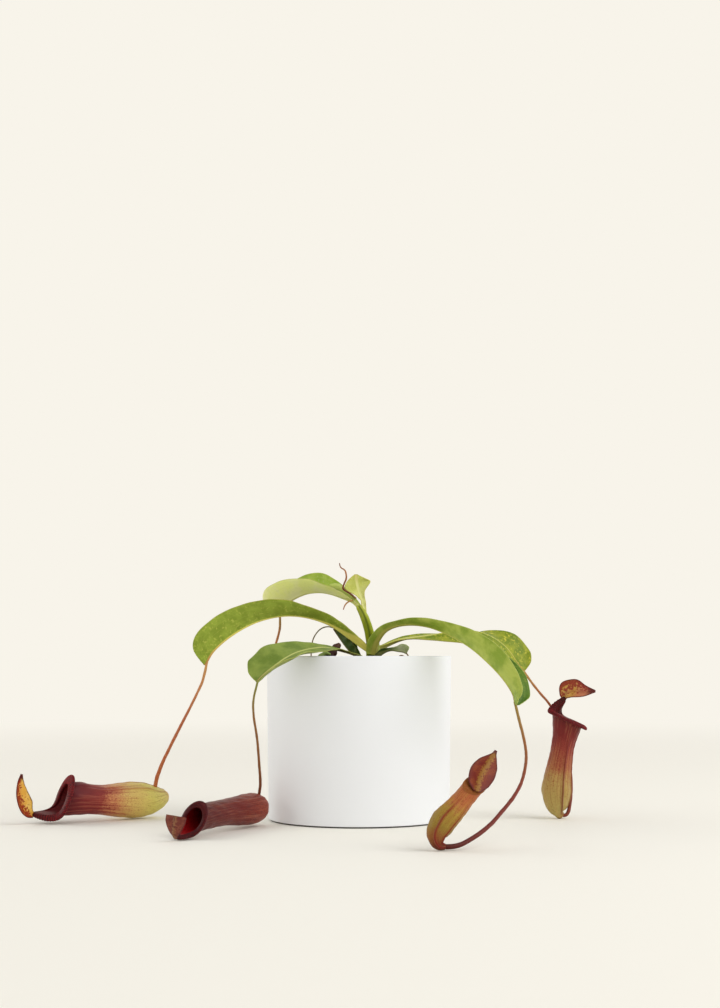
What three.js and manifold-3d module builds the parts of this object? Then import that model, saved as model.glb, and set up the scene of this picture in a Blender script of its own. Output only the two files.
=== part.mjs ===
// A tropical pitcher plant in a plain round pot. Millimetres, +Z up, the pot's underside on z = 0 with its
// centre at the origin. +X is to the viewer's right and -Y is towards the viewer.
// Leathery leaves fold along their ribs, each rib runs on as a tendril, and four tendrils end in pitchers
// that lie or stand on the surface round the pot.

import * as THREE from 'three';
import { mergeVertices } from 'three/addons/utils/BufferGeometryUtils.js';
import Module from 'manifold-3d';

const wasm = await Module();
wasm.setup();

// Driving dimensions

const gap = 0.3; // clear space between pieces that touch
const bladeThickness = 0.8;
const pitcherWall = 1.2;
const pitcherSides = 24;

const pot = {
  height: 146.3,
  topRadius: 82.5,
  bottomRadius: 81,
  footRadius: 79.5,
  footHeight: 1.2,
  wall: 4,
  floor: 6,
  lip: 0.8, // how far the rim's edges are eased
  sides: 56,
};

const soil = {
  level: 138, // mean height of the top of the mix
  mound: 3, // how much higher it is round the crown
  bump: 1.2,
  rings: 6,
  sides: 32,
  chips: 16, // larger pieces of bark on top
  chipSize: 6,
};

// The shoot: points up its middle, and its radius at each.
const stem = {
  points: [
    [10.5, 0, 112], [10.5, 0, 135], [10.4, 0, 150], [10.3, 0, 161], [7.2, 0, 175], [2.6, 0, 186], [-1.2, 0, 192],
  ],
  radii: [3.4, 3.6, 3.9, 4.2, 4.2, 3.9, 2.6],
};

// Every leaf is a list of rows along its rib: x, y, z, half width of the blade, and how many degrees the
// left and the right half lift above level, left and right as seen by someone walking out along the rib.
const leaves = {
  leaf_left_large: {
    rows: [
      [9, -1, 150, 4, 60, 60],
      [2.2, -1, 154.6, 6.5, 60, 60],
      [-8.1, -1, 162.4, 7.5, 60, 60],
      [-26, 0, 174.5, 10, 55, 50],
      [-48.5, 2, 181.8, 15, 47, 40],
      [-69.2, 4, 182.8, 18.5, 52, 40],
      [-93.6, 6, 176.9, 21, 64, 40],
      [-116.3, 8, 164.3, 23, 74, 45],
      [-131.7, 9, 150.8, 22, 80, 50],
      [-137, 10, 142.5, 14.5, 80, 50],
      [-139.5, 10, 138.2, 1.5, 75, 50],
    ],
    stations: 24,
    colour: 0x7f8f35,
  },
  leaf_left_small: {
    rows: [
      [8, -2, 143.5, 3, 20, 40],
      [-3.6, -14, 147.5, 3, 10, 40],
      [-12.3, -27, 150.4, 4, 0, 30],
      [-31.1, -51, 153.8, 12, -12, 22],
      [-51.9, -74, 149.7, 18, 0, 30],
      [-61.4, -83, 144.8, 21, 10, 40],
      [-69.4, -89, 139.1, 22.5, 12, 42],
      [-78.9, -94, 131.5, 21.5, 14, 42],
      [-83.4, -96, 127, 14, 12, 42],
      [-85.3, -97, 124.6, 1.5, 10, 42],
    ],
    stations: 24,
    colour: 0x8c9a4d,
  },
  leaf_right_front: {
    rows: [
      [13.6, -4.6, 147.5, 7.5, 30, 20],
      [14.8, -6.8, 153.5, 8.5, 35, 30],
      [17.2, -9.8, 159.5, 9, 50, 50],
      [24, -17, 168.6, 7, 58, 60],
      [37, -28, 173.6, 6.5, 45, 52],
      [60, -46, 172.2, 10, 32, 50],
      [91, -74, 156.9, 19.5, 20, 60],
      [110.6, -90, 139.6, 23, 20, 66],
      [123, -99, 124.9, 22.5, 24, 64],
      [129, -103.5, 114.2, 18.5, 20, 60],
      [130.2, -104.4, 108.9, 13, 28, 50],
      [131, -105, 105.3, 4, 38, 45],
    ],
    stations: 24,
    colour: 0x86963c,
  },
  leaf_right_back: {
    rows: [
      [11, 2, 148.5, 3.5, 60, 60],
      [20, 6, 153, 4, 55, 50],
      [39, 12, 161.3, 6, 30, -5],
      [65, 17, 165.6, 11, 5, -30],
      [84, 20, 168.6, 17, -6, -42],
      [106, 23, 169.2, 20, -6, -48],
      [121, 25, 164, 22, 20, -40],
      [135, 27.5, 153.6, 23.5, 50, -35],
      [145, 29.2, 139.8, 20.5, 66, -28],
      [149.3, 29.8, 134.3, 13.5, 70, -15],
      [151, 30, 131.8, 1.5, 72, 0],
    ],
    stations: 24,
    colour: 0x7d8c34,
  },
  leaf_top: {
    rows: [
      [2.5, 0, 186, 3.5, 55, 55],
      [-5, 3, 194.5, 5, 50, 60],
      [-13.5, 7, 198.5, 9, 45, 68],
      [-27.5, 15, 203.5, 15, 35, 74],
      [-37.5, 21, 204.8, 19, 36, 74],
      [-49, 28, 203.5, 19.5, 47, 70],
      [-62, 36, 197.5, 22.5, 59, 60],
      [-70.5, 41, 189, 23, 70, 54],
      [-73.5, 44, 182.5, 1.5, 66, 50],
    ],
    stations: 22,
    colour: 0x9db062,
  },
  leaf_youngest: {
    rows: [
      [4.6, -0.5, 191, 2.2, 30, 30],
      [3.4, -1.5, 197, 2.4, 25, 25],
      [0.6, -3.5, 203, 5.4, 15, 15],
      [-1.6, -5.5, 210.5, 12.4, 8, 8],
      [-2.4, -6.5, 215.5, 7, 5, 5],
      [-2.7, -7, 219.2, 1.2, 0, 0],
    ],
    level: [0.1, -1, 0.3],
    stations: 10,
    colour: 0xc3cd6d,
  },
  leaf_crown_left: {
    rows: [
      [2.3, 2, 142.9, 3, 40, 40],
      [-4.5, 5.5, 147.8, 7, 65, 45],
      [-10.8, 9, 154.5, 9.5, 75, 50],
      [-16.2, 13, 162, 7.5, 72, 55],
      [-22.4, 15, 171.1, 1.2, 65, 60],
    ],
    stations: 12,
    colour: 0x4f6a35,
  },
  leaf_crown_right: {
    rows: [
      [13.8, -4.8, 142.7, 2.5, 50, 50],
      [18, -7.6, 146.6, 4.3, 55, 68],
      [23, -9, 150.2, 5, 65, 72],
      [29, -10.6, 152, 2.6, 60, 68],
      [35, -12, 151.2, 6, 60, 70],
      [39, -13, 150.6, 8, 60, 70],
      [41, -13.4, 149.9, 7.5, 60, 70],
      [42, -13.6, 149.1, 1.5, 60, 70],
    ],
    stations: 14,
    colour: 0x7c9158,
  },
};

// Tendrils: points along the middle, and the radius at the leaf's end and at the far end.
const tendrils = {
  tendril_left_large: {
    points: [
      [-139.7, 10, 137], [-139.4, 10, 130.7], [-141.8, 11, 122.4], [-146.5, 12, 112.3], [-152.4, 13, 100.5],
      [-162, 14, 82], [-171, 14, 64], [-178.4, 14, 48.6], [-182.9, 14, 36], [-184.4, 13.8, 29.6],
    ],
    radii: [1.3, 1.3, 1.5, 1.8],
    steps: 20,
    colour: 0xb9784a,
  },
  tendril_left_small: {
    points: [
      [-86, -97, 123.4], [-88.4, -94, 109.5], [-88.8, -87, 96.9], [-86.6, -75, 75.9], [-85.4, -64, 52], [-85, -56, 36],
      [-86.2, -52.4, 27.8],
    ],
    radii: [1, 1.1, 1.2, 1.3],
    steps: 16,
    colour: 0x85552f,
  },
  tendril_right_front: {
    points: [
      [131.2, -105.2, 104], [132.6, -110, 94.1], [135.3, -122, 79.2], [135.9, -136, 66.9], [133.8, -150, 57.1],
      [128.8, -166, 45.3], [120.7, -183, 35.1], [111, -198, 26.1], [100.6, -212, 17.1], [89.5, -224, 10.3],
      [78.8, -232, 5.2], [71, -236, 3.3], [66.3, -237, 2.9],
    ],
    radii: [1.2, 1.2, 1.5, 1.9],
    steps: 22,
    colour: 0x8f5a38,
  },
  tendril_right_back: {
    points: [
      [151.3, 30.1, 131.3], [158.3, 29.5, 121.6], [165.3, 27, 112.5], [175, 27, 100.7], [185, 28, 78.8],
      [191.5, 24, 50], [192.2, 14, 29], [190.3, 8, 14], [188.2, 4.6, 6.2], [186.1, 3.3, 3.5],
    ],
    radii: [1.1, 1.1, 1.4, 1.8],
    steps: 20,
    colour: 0x9a5a35,
  },
  tendril_top: {
    points: [
      [-73.7, 44.6, 181.4], [-73.5, 52, 173], [-75.5, 60, 165], [-79, 67, 154], [-82, 74, 138], [-82, 79, 120],
      [-79, 83, 104], [-74, 88, 93], [-68, 93, 90], [-64, 95, 94],
    ],
    radii: [1.1, 1.1, 1, 0.9],
    steps: 28,
    colour: 0x9a6a45,
  },
  tendril_youngest: {
    points: [
      [-2.4, -5, 197.6], [-8, -9.6, 202], [-14.2, -12.5, 206.3], [-13.2, -13, 210.5], [-11.5, -13, 214.4],
      [-11.3, -13, 218], [-12.3, -13, 222], [-13.9, -12.5, 223.6], [-15.3, -12, 224.2], [-16.7, -11.5, 226],
      [-17.4, -11, 229],
    ],
    radii: [0.7, 0.7, 0.7, 0.4],
    steps: 24,
    colour: 0x6d3a2c,
  },
  tendril_hook: {
    points: [[-6, -4.6, 196], [-9.6, -6, 194.6], [-12.6, -7, 191.5], [-14, -7.4, 187.5]],
    radii: [0.7, 0.7, 0.6, 0.4],
    steps: 8,
    colour: 0xa8683c,
  },
  tendril_crown_left: {
    points: [
      [-22.9, 15.2, 171.9], [-28.5, 14.5, 172.8], [-35, 13, 170.5], [-41, 10, 162.5], [-42.9, 6, 152], [-43, 3, 143],
      [-43, 1, 136],
    ],
    radii: [0.6, 0.6, 0.6, 0.6],
    steps: 14,
    colour: 0x7a5a36,
  },
  tendril_crown_right: {
    points: [[42.2, -13.65, 148.7], [43.6, -14, 146.6], [44.8, -14.4, 143.6], [45.2, -14.8, 141.2]],
    radii: [0.6, 0.6, 0.6, 0.5],
    steps: 6,
    colour: 0x7a5236,
  },
};

// Pitchers. rows: x, y, z along the middle from the base to the mouth, and the outer radius there.
// front: the side that bears the two ridges. slant and skew: how far the mouth leans back and sideways, as rise
// over run.
// saddle: how far the lip bows up at its sides. neck: how far the lip runs up at the back, towards the lid,
// neckWidth: how narrow that is, and neckLean: how far it bends in over the mouth.
const pitchers = {
  pitcher_far_left: {
    rows: [
      [-172.6, 15.5, 21, 1.5], [-175, 15, 20, 5.4], [-180, 14.4, 18.2, 9.4], [-187, 12.6, 16.8, 12.8],
      [-195, 9, 16.5, 15], [-203, 3.5, 16.6, 15.8],
      [-214, -6, 17.4, 14.8], [-229, -19, 18.8, 12.8], [-240, -27.5, 20.2, 13.5], [-248.5, -32, 21, 15],
      [-256, -34.5, 21.1, 15.6],
    ],
    front: [0.1, -0.2, 0.97],
    slant: 0.24,
    skew: 0.1,
    saddle: 0,
    lip: 5,
    neck: 20,
    neckWidth: 4,
    neckLean: 4,
    open: true,
    colour: 0x96423a,
  },
  pitcher_left_front: {
    rows: [
      [-84.6, -44.5, 17.5, 1.5], [-85.4, -46, 17.2, 6], [-87, -49, 16.6, 10], [-89.5, -55, 15.6, 12.6],
      [-94, -65.5, 15.2, 13.3], [-102, -84, 15.6, 12.2], [-112, -105, 16.2, 10.8], [-119, -120, 16.1, 10.6],
      [-126, -135, 15.6, 10.7], [-132.5, -150, 14.8, 11],
    ],
    front: [0.25, 0, 1],
    slant: 0.8,
    skew: 0.45,
    saddle: 0,
    lip: 2.2,
    neck: 12,
    neckWidth: 6,
    neckLean: 0,
    open: true,
    colour: 0x84443a,
  },
  pitcher_centre_young: {
    rows: [
      [65.6, -237, 2.9, 2], [60.6, -237, 4.2, 4], [58.3, -236.6, 11, 7.4], [63.4, -234.6, 21.5, 9.8],
      [71, -232, 29.5, 9.2], [79, -229, 38.5, 8], [87, -226.5, 47.5, 7.8],
    ],
    front: [-0.3, -1, 0.2],
    slant: 1,
    skew: 0,
    saddle: 0,
    lip: 1.2,
    neck: 12,
    neckWidth: 2,
    neckLean: 0,
    open: false,
    colour: 0xa0682e,
  },
  pitcher_right: {
    rows: [
      [183.6, 3, 2.4, 1.8], [180.4, 3.5, 4.2, 4.4], [178.2, 4, 11, 9.6], [177.3, 4.5, 27, 13], [179.4, 5, 44, 11],
      [182.6, 5.5, 63, 9.8], [185, 6, 75, 11], [186.6, 6, 84, 13], [187.3, 6, 88, 14],
    ],
    front: [0.77, -0.64, 0],
    slant: 0.22,
    skew: 0.15,
    saddle: 0,
    lip: 5,
    neck: 12,
    neckWidth: 8,
    neckLean: 10,
    open: true,
    colour: 0x8c4a38,
  },
};

// Lids are small folded blades too, from the neck to the tip. level: which way their upper face looks.
const lids = {
  lid_far_left: {
    rows: [
      [-283.7, -41.4, 7, 2, 20, 20],
      [-287.4, -46.4, 11, 6, 25, 25],
      [-290.4, -49.6, 16.5, 8.8, 30, 30],
      [-292.8, -51.5, 24.5, 8.2, 32, 32],
      [-293.3, -52, 32.6, 5.8, 30, 30],
      [-292.6, -52, 38.8, 3.2, 20, 20],
      [-291.2, -52, 44, 0.8, 0, 0],
    ],
    level: [0.75, -0.65, 0.1],
    stations: 10,
    colour: 0xc08a3a,
  },
  lid_left_front: {
    rows: [
      [-144.9, -170.7, 2.4, 1.6, 20, 20],
      [-145.6, -175.5, 5.2, 3.6, 15, 15],
      [-145.4, -177.6, 10, 6.5, 10, 10],
      [-144.6, -178, 16, 8.8, 5, 5],
      [-143.8, -177.4, 20.4, 9, 5, 5],
    ],
    level: [0.35, 0.93, 0.1],
    stations: 8,
    colour: 0x8a5044,
  },
  lid_centre_young: {
    rows: [
      [105, -213, 74, 0.9, 0, 0],
      [102.6, -216, 70, 3.5, -12, -12],
      [98.9, -220.5, 65, 8.5, -14, -14],
      [94.3, -226.5, 58.6, 10.4, -14, -14],
      [90.6, -232, 51, 8.6, -14, -14],
      [88.8, -236.2, 44.9, 3, -12, -12],
    ],
    level: [0.25, -0.79, 0.55],
    stations: 10,
    colour: 0x9a4a30,
  },
  lid_right: {
    rows: [
      [185, 10.6, 107.9, 2, 20, 20],
      [185.4, 10.2, 110.6, 5, 25, 25],
      [187.6, 8.5, 113.4, 11, 28, 28],
      [193, 6, 114.2, 11.8, 28, 28],
      [201, 0.5, 113.8, 8, 24, 24],
      [210.9, -5, 115, 1.2, 10, 10],
    ],
    level: [-0.2, -0.78, 0.6],
    stations: 10,
    colour: 0xb07a35,
  },
};

// Small dry things at the crown, and the leaf that is still rolled: plain tapered bodies.
const buds = {
  leaf_rolled: {
    points: [[-3.6, -4.2, 196.2], [-9, -5.2, 200.8], [-14.5, -6, 205.6], [-20, -6.8, 208.6], [-26.2, -7.4, 209.8]],
    radii: [0.9, 1.6, 2.6, 3, 0.7],
    steps: 10,
    sides: 8,
    colour: 0xc6cf80,
  },
  pitcher_dried: {
    points: [[-32, -9, 136.5], [-28.5, -8.6, 143], [-24.5, -8, 148.5], [-21, -7, 153.5], [-16.5, -6, 157.3]],
    radii: [1.2, 4, 5, 3.2, 2.4],
    steps: 9,
    sides: 8,
    colour: 0x4a2a22,
  },
  scrap_left: {
    points: [[-36, -14, 138], [-34.5, -14, 144.5], [-29.5, -14, 148.6], [-25, -13.8, 147.6]],
    radii: [2, 3, 2.2, 0.9],
    steps: 7,
    sides: 6,
    colour: 0x7f9a4a,
  },
  scrap_right: {
    points: [[33.5, -22, 138], [34.4, -22, 144], [37, -22, 146.4], [40.2, -22, 145.8]],
    radii: [0.9, 1, 0.9, 0.6],
    steps: 6,
    sides: 6,
    colour: 0x6a4a30,
  },
};

// The wings of an open pitcher are two low ridges on its front.
const ridge = { corner: 2, height: 1.5 };

const colours = { pot: 0xf2f1ec, soil: 0x4a3627, stem: 0xa9b35c };

// Shared helpers

const vector = (p) => new THREE.Vector3(p[0], p[1], p[2]);
const radians = THREE.MathUtils.degToRad;

function seededRandom(seed) {
  let state = seed;
  return () => {
    state = (state * 16807) % 2147483647;
    return state / 2147483647;
  };
}

// Reads a value from a short list of values spread evenly over 0..1.
function along(values, t) {
  const at = t * (values.length - 1);
  const lower = Math.min(Math.floor(at), values.length - 2);
  return THREE.MathUtils.lerp(values[lower], values[lower + 1], at - lower);
}

// Shared vertices only, with no flat triangles left, so that the mesh is one closed body.
function weld(geometry) {
  const bare = new THREE.BufferGeometry();
  bare.setAttribute('position', geometry.getAttribute('position').clone());
  if (geometry.getIndex()) bare.setIndex(geometry.getIndex().clone());
  const merged = mergeVertices(bare, 1e-3);
  const index = merged.getIndex().array;
  const kept = [];
  for (let i = 0; i < index.length; i += 3) {
    const [a, b, c] = [index[i], index[i + 1], index[i + 2]];
    if (a !== b && b !== c && c !== a) kept.push(a, b, c);
  }
  merged.setIndex(kept);
  return merged;
}

function toSolid(geometry) {
  const welded = weld(geometry);
  return new wasm.Manifold(
    new wasm.Mesh({
      numProp: 3,
      vertProperties: new Float32Array(welded.getAttribute('position').array),
      triVerts: new Uint32Array(welded.getIndex().array),
    }),
  );
}

function toGeometry(solid) {
  const mesh = solid.getMesh();
  const geometry = new THREE.BufferGeometry();
  geometry.setAttribute('position', new THREE.BufferAttribute(new Float32Array(mesh.vertProperties), 3));
  geometry.setIndex(new THREE.BufferAttribute(new Uint32Array(mesh.triVerts), 1));
  return geometry;
}

// A round rod: a small circle extruded along the curve, each ring then widened to its own radius.
function rod({ points, radii, steps, sides = 6 }) {
  const path = new THREE.CatmullRomCurve3(points.map(vector));
  const thin = 0.4;
  const corners = [];
  for (let i = 0; i < sides; i += 1) {
    const angle = (2 * Math.PI * i) / sides;
    corners.push(new THREE.Vector2(thin * Math.cos(angle), thin * Math.sin(angle)));
  }
  const extrusion = new THREE.ExtrudeGeometry(new THREE.Shape(corners), {
    steps,
    bevelEnabled: false,
    extrudePath: path,
  });
  const geometry = weld(extrusion);
  const centres = path.getSpacedPoints(steps);
  const positions = geometry.getAttribute('position');
  const point = new THREE.Vector3();
  for (let i = 0; i < positions.count; i += 1) {
    point.fromBufferAttribute(positions, i);
    let nearest = 0;
    centres.forEach((centre, k) => {
      if (centre.distanceTo(point) < centres[nearest].distanceTo(point)) nearest = k;
    });
    const centre = centres[nearest];
    const scale = along(radii, nearest / steps) / thin;
    point.sub(centre).multiplyScalar(scale).add(centre);
    positions.setXYZ(i, point.x, point.y, point.z);
  }
  return geometry;
}

// A blade folded along its rib. The middle surface is worked out on a grid of stations along the rib and
// places across it, and both faces stand off it by half the thickness, split into triangles alike.
const acrossBlade = [-1, -0.6, -0.14, 0, 0.14, 0.6, 1];
const cupping = 0.07; // how far each half bulges, as a share of its width
const ripples = 5; // waves along a blade's margins
const keel = { depth: 1, reach: 0.1 };

function foldedBlade({ rows, stations, level = [0, 0, 1], wave = 0.6 }) {
  const faceUp = vector(level).normalize();
  const rib = new THREE.CatmullRomCurve3(rows.map(vector));
  const shape = new THREE.CatmullRomCurve3(rows.map((row) => vector(row.slice(3))));
  const middle = [];
  for (let i = 0; i <= stations; i += 1) {
    const t = i / stations;
    const base = rib.getPoint(t);
    const ahead = rib.getTangent(t);
    const left = faceUp.clone().cross(ahead).normalize();
    const raised = ahead.clone().cross(left);
    const { x: width, y: liftLeft, z: liftRight } = shape.getPoint(t);
    const halfWidth = Math.max(width, 1);
    middle.push(acrossBlade.map((s) => {
      const lift = radians(s > 0 ? liftLeft : liftRight);
      const out = left.clone().multiplyScalar(Math.sign(s) * Math.cos(lift)).addScaledVector(raised, Math.sin(lift));
      const bulge = raised.clone().multiplyScalar(-Math.cos(lift)).addScaledVector(left, Math.sign(s) * Math.sin(lift));
      const reach = Math.abs(s);
      const swell = wave * reach * reach * Math.sin(2 * Math.PI * ripples * t + 2 * s) * Math.sin(Math.PI * t);
      return base.clone()
        .addScaledVector(out, halfWidth * reach)
        .addScaledVector(bulge, halfWidth * cupping * 4 * reach * (1 - reach) + swell);
    }));
  }
  return thicken(middle, (j) => keel.depth * Math.exp(-((acrossBlade[j] / keel.reach) ** 2)));
}

// Both faces and the edges of a thin sheet given by its middle surface. extra(j) thickens the underside.
function thicken(middle, extra) {
  const last = middle.length - 1;
  const width = middle[0].length;
  const positions = [];
  for (const face of [1, -1]) {
    middle.forEach((row, i) => row.forEach((point, j) => {
      const ahead = middle[Math.min(i + 1, last)][j].clone().sub(middle[Math.max(i - 1, 0)][j]);
      const across = row[Math.min(j + 1, width - 1)].clone().sub(row[Math.max(j - 1, 0)]);
      const normal = ahead.cross(across).normalize();
      const offset = bladeThickness / 2 + (face < 0 ? extra(j) : 0);
      positions.push(...point.clone().addScaledVector(normal, face * offset).toArray());
    }));
  }
  const top = (i, j) => i * width + j;
  const under = (i, j) => (last + 1) * width + i * width + j;
  const index = [];
  const quad = (a, b, c, d) => index.push(a, b, c, a, c, d);
  for (let i = 0; i < last; i += 1) {
    for (let j = 0; j < width - 1; j += 1) {
      quad(top(i, j), top(i + 1, j), top(i + 1, j + 1), top(i, j + 1));
      index.push(under(i, j), under(i + 1, j + 1), under(i + 1, j));
      index.push(under(i, j), under(i, j + 1), under(i + 1, j + 1));
    }
    quad(top(i, width - 1), top(i + 1, width - 1), under(i + 1, width - 1), under(i, width - 1));
    quad(top(i + 1, 0), top(i, 0), under(i, 0), under(i + 1, 0));
  }
  for (let j = 0; j < width - 1; j += 1) {
    quad(top(0, j), top(0, j + 1), under(0, j + 1), under(0, j));
    quad(top(last, j + 1), top(last, j), under(last, j), under(last, j + 1));
  }
  const geometry = new THREE.BufferGeometry();
  geometry.setAttribute('position', new THREE.Float32BufferAttribute(positions, 3));
  geometry.setIndex(index);
  return geometry;
}

// Where a pitcher's middle line is at each share u of its length, with the direction to its front and side.
function pitcherFrames({ rows, front }, count) {
  const axis = new THREE.CatmullRomCurve3(rows.map(vector));
  const frames = [];
  for (let k = 0; k <= count; k += 1) {
    frames.push({ at: axis.getPoint(k / count), ahead: axis.getTangent(k / count) });
  }
  frames[count].front = vector(front).projectOnPlane(frames[count].ahead).normalize();
  for (let k = count - 1; k >= 0; k -= 1) {
    const turn = new THREE.Quaternion().setFromUnitVectors(frames[k + 1].ahead, frames[k].ahead);
    frames[k].front = frames[k + 1].front.clone().applyQuaternion(turn);
  }
  frames.forEach((frame) => {
    frame.side = frame.ahead.clone().cross(frame.front);
  });
  return frames;
}

// A pitcher is a lathed wall, bent along its middle line. Its profile runs up the outside, over the rolled
// lip and, when it is open, down the inside; beyond holds the lip's own shape past the mouth.
function pitcherGeometry(spec) {
  const steps = 14;
  const frames = pitcherFrames(spec, steps);
  const radiusAt = new THREE.CatmullRomCurve3(spec.rows.map((row, i) => new THREE.Vector3(row[3], i, 0)));
  const profile = [];
  const add = (u, radius, past = 0, wing = 0) => profile.push({ u, radius, past, wing });
  const outer = (u) => Math.max(radiusAt.getPoint(u).x, 0.5);
  add(0, 0);
  for (let k = 0; k <= steps; k += 1) {
    add(k / steps, outer(k / steps), 0, Math.sin(Math.PI * Math.min((k + 1) / steps, 1) ** 0.8));
  }
  const mouth = outer(1);
  add(1, mouth + spec.lip, -0.4);
  add(1, mouth + spec.lip * 1.1, 1.1);
  add(1, mouth + spec.lip * 0.6, 2.5);
  add(1, mouth - pitcherWall, 2.6);
  if (spec.open) {
    add(1, mouth - 2 * pitcherWall, 1.2);
    for (let k = steps; k >= 4; k -= 2) add(k / steps, outer(k / steps) - pitcherWall);
    add(3 / steps, 0);
  } else {
    add(1, mouth * 0.5, 2.5);
    add(1, 0, 2.5);
  }
  const lathe = new THREE.LatheGeometry(profile.map((p, i) => new THREE.Vector2(p.radius, i)), pitcherSides);
  const positions = lathe.getAttribute('position');
  const corner = (2 * Math.PI) / pitcherSides;
  for (let i = 0; i < positions.count; i += 1) {
    const { u, radius, past, wing } = profile[i % profile.length];
    const turn = Math.round(Math.floor(i / profile.length)) * corner;
    const frame = frames[Math.round(u * steps)];
    const isRidge = Math.abs(Math.abs(Math.sin(turn)) - Math.sin(ridge.corner * corner)) < 1e-3 && Math.cos(turn) > 0;
    const reach = radius + (isRidge && radius > 0 ? ridge.height * wing : 0);
    const tilt = spec.slant * Math.cos(turn) + spec.skew * Math.sin(turn);
    const lean = tilt * THREE.MathUtils.smoothstep(u, 0.55, 1);
    const nearMouth = radius > 0 ? THREE.MathUtils.smoothstep(u, 0.8, 1) : 0;
    const neck = nearMouth * Math.max(0, -Math.cos(turn)) ** spec.neckWidth;
    const bow = spec.neck * neck + nearMouth * spec.saddle * Math.sin(turn) ** 2;
    const point = frame.at.clone()
      .addScaledVector(frame.front, reach * Math.cos(turn) + spec.neckLean * neck * neck)
      .addScaledVector(frame.side, reach * Math.sin(turn))
      .addScaledVector(frame.ahead, past + bow - reach * lean);
    positions.setXYZ(i, point.x, point.y, point.z);
  }
  return lathe;
}

// The pieces

const group = new THREE.Group();

function place(name, geometry, colour, roughness = 0.6) {
  const material = new THREE.MeshStandardMaterial({ color: colour, roughness, metalness: 0 });
  const welded = weld(geometry);
  welded.computeVertexNormals();
  const mesh = new THREE.Mesh(welded, material);
  mesh.name = name;
  group.add(mesh);
  return mesh;
}

function potGeometry() {
  const outline = [
    [0, 0],
    [pot.footRadius, 0],
    [pot.footRadius, pot.footHeight],
    [pot.bottomRadius - pot.lip, pot.footHeight],
    [pot.bottomRadius, pot.footHeight + pot.lip],
    [pot.topRadius, pot.height - pot.lip],
    [pot.topRadius - pot.lip, pot.height],
    [pot.topRadius - pot.wall + pot.lip, pot.height],
    [pot.topRadius - pot.wall, pot.height - pot.lip],
    [pot.bottomRadius - pot.wall, 2 * pot.floor],
    [pot.bottomRadius - pot.wall - pot.floor, pot.floor],
    [0, pot.floor],
  ];
  const lathe = new THREE.LatheGeometry(outline.map(([r, z]) => new THREE.Vector2(r, z)), pot.sides);
  return lathe.rotateX(Math.PI / 2);
}

function soilGeometry() {
  const random = seededRandom(7);
  const bottom = pot.floor + gap;
  const wallInside = pot.bottomRadius - pot.wall - gap;
  const topInside = THREE.MathUtils.lerp(pot.bottomRadius, pot.topRadius, soil.level / pot.height) - pot.wall - gap;
  const profile = [new THREE.Vector2(0, bottom), new THREE.Vector2(wallInside - pot.floor, bottom)];
  profile.push(new THREE.Vector2(wallInside, 2 * pot.floor));
  const shoulder = profile.length;
  for (let k = soil.rings; k >= 0; k -= 1) {
    profile.push(new THREE.Vector2((topInside * k) / soil.rings, soil.level));
  }
  const lathe = new THREE.LatheGeometry(profile, soil.sides);
  lathe.rotateX(Math.PI / 2);
  const positions = lathe.getAttribute('position');
  for (let i = 0; i < positions.count; i += 1) {
    const ring = i % profile.length;
    if (ring > shoulder) {
      const [x, y] = [positions.getX(i), positions.getY(i)];
      const heave = Math.sin(0.21 * x + 1) * Math.sin(0.17 * y) + 0.6 * Math.sin(0.43 * x - 0.31 * y + 2);
      const mound = soil.mound * Math.exp(-(x * x + y * y) / 1200);
      positions.setZ(i, soil.level + soil.bump * heave + mound);
    }
  }
  let mix = toSolid(lathe);
  for (let n = 0; n < soil.chips; n += 1) {
    const angle = 2 * Math.PI * random();
    const from = 16 + (topInside - 26) * Math.sqrt(random());
    const chip = new THREE.IcosahedronGeometry(1, 0);
    chip.scale(soil.chipSize * (0.7 + 0.6 * random()), soil.chipSize * (0.5 + 0.4 * random()), 2.6);
    chip.rotateX(0.5 * (random() - 0.5));
    chip.rotateZ(2 * Math.PI * random());
    chip.translate(from * Math.cos(angle), from * Math.sin(angle), soil.level + 0.8);
    mix = mix.add(toSolid(chip));
  }
  const stemFoot = { points: stem.points.slice(0, 4), radii: stem.radii.slice(0, 4), steps: 6, sides: 12 };
  for (const root of [stemFoot, tendrils.tendril_crown_left, buds.pitcher_dried, buds.scrap_left, buds.scrap_right]) {
    mix = mix.subtract(toSolid(rod(withRoom(root))));
  }
  return toGeometry(mix);
}

// The same rod with the clear gap all round it and a little beyond its lower end.
function withRoom(spec) {
  const ends = spec.points.map(vector);
  const lowest = ends[0].z < ends[ends.length - 1].z ? 0 : ends.length - 1;
  const inner = lowest === 0 ? 1 : ends.length - 2;
  const points = spec.points.slice();
  const beyond = ends[lowest].clone().sub(ends[inner]).setLength(2 * gap).add(ends[lowest]);
  points[lowest] = beyond.toArray();
  return { ...spec, points, radii: spec.radii.map((r) => r + gap) };
}

place('pot', potGeometry(), colours.pot, 0.75);
place('soil', soilGeometry(), colours.soil, 0.95);
place('stem', rod({ ...stem, steps: 16, sides: 12 }), colours.stem);

const stemRoom = toSolid(rod(withRoom({ ...stem, steps: 16, sides: 12 })));

for (const [name, spec] of Object.entries(leaves)) {
  const blade = toSolid(foldedBlade(spec)).subtract(stemRoom);
  place(name, toGeometry(blade), spec.colour);
}

for (const [name, spec] of Object.entries({ ...tendrils, ...buds })) {
  place(name, rod(spec), spec.colour);
}

for (const [name, spec] of Object.entries(lids)) {
  place(name, foldedBlade({ ...spec, wave: 0 }), spec.colour);
}

for (const [name, spec] of Object.entries(pitchers)) {
  place(name, pitcherGeometry(spec), spec.colour);
}

export default group;
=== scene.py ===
from math import atan2, hypot, pi, radians, sqrt

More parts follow.
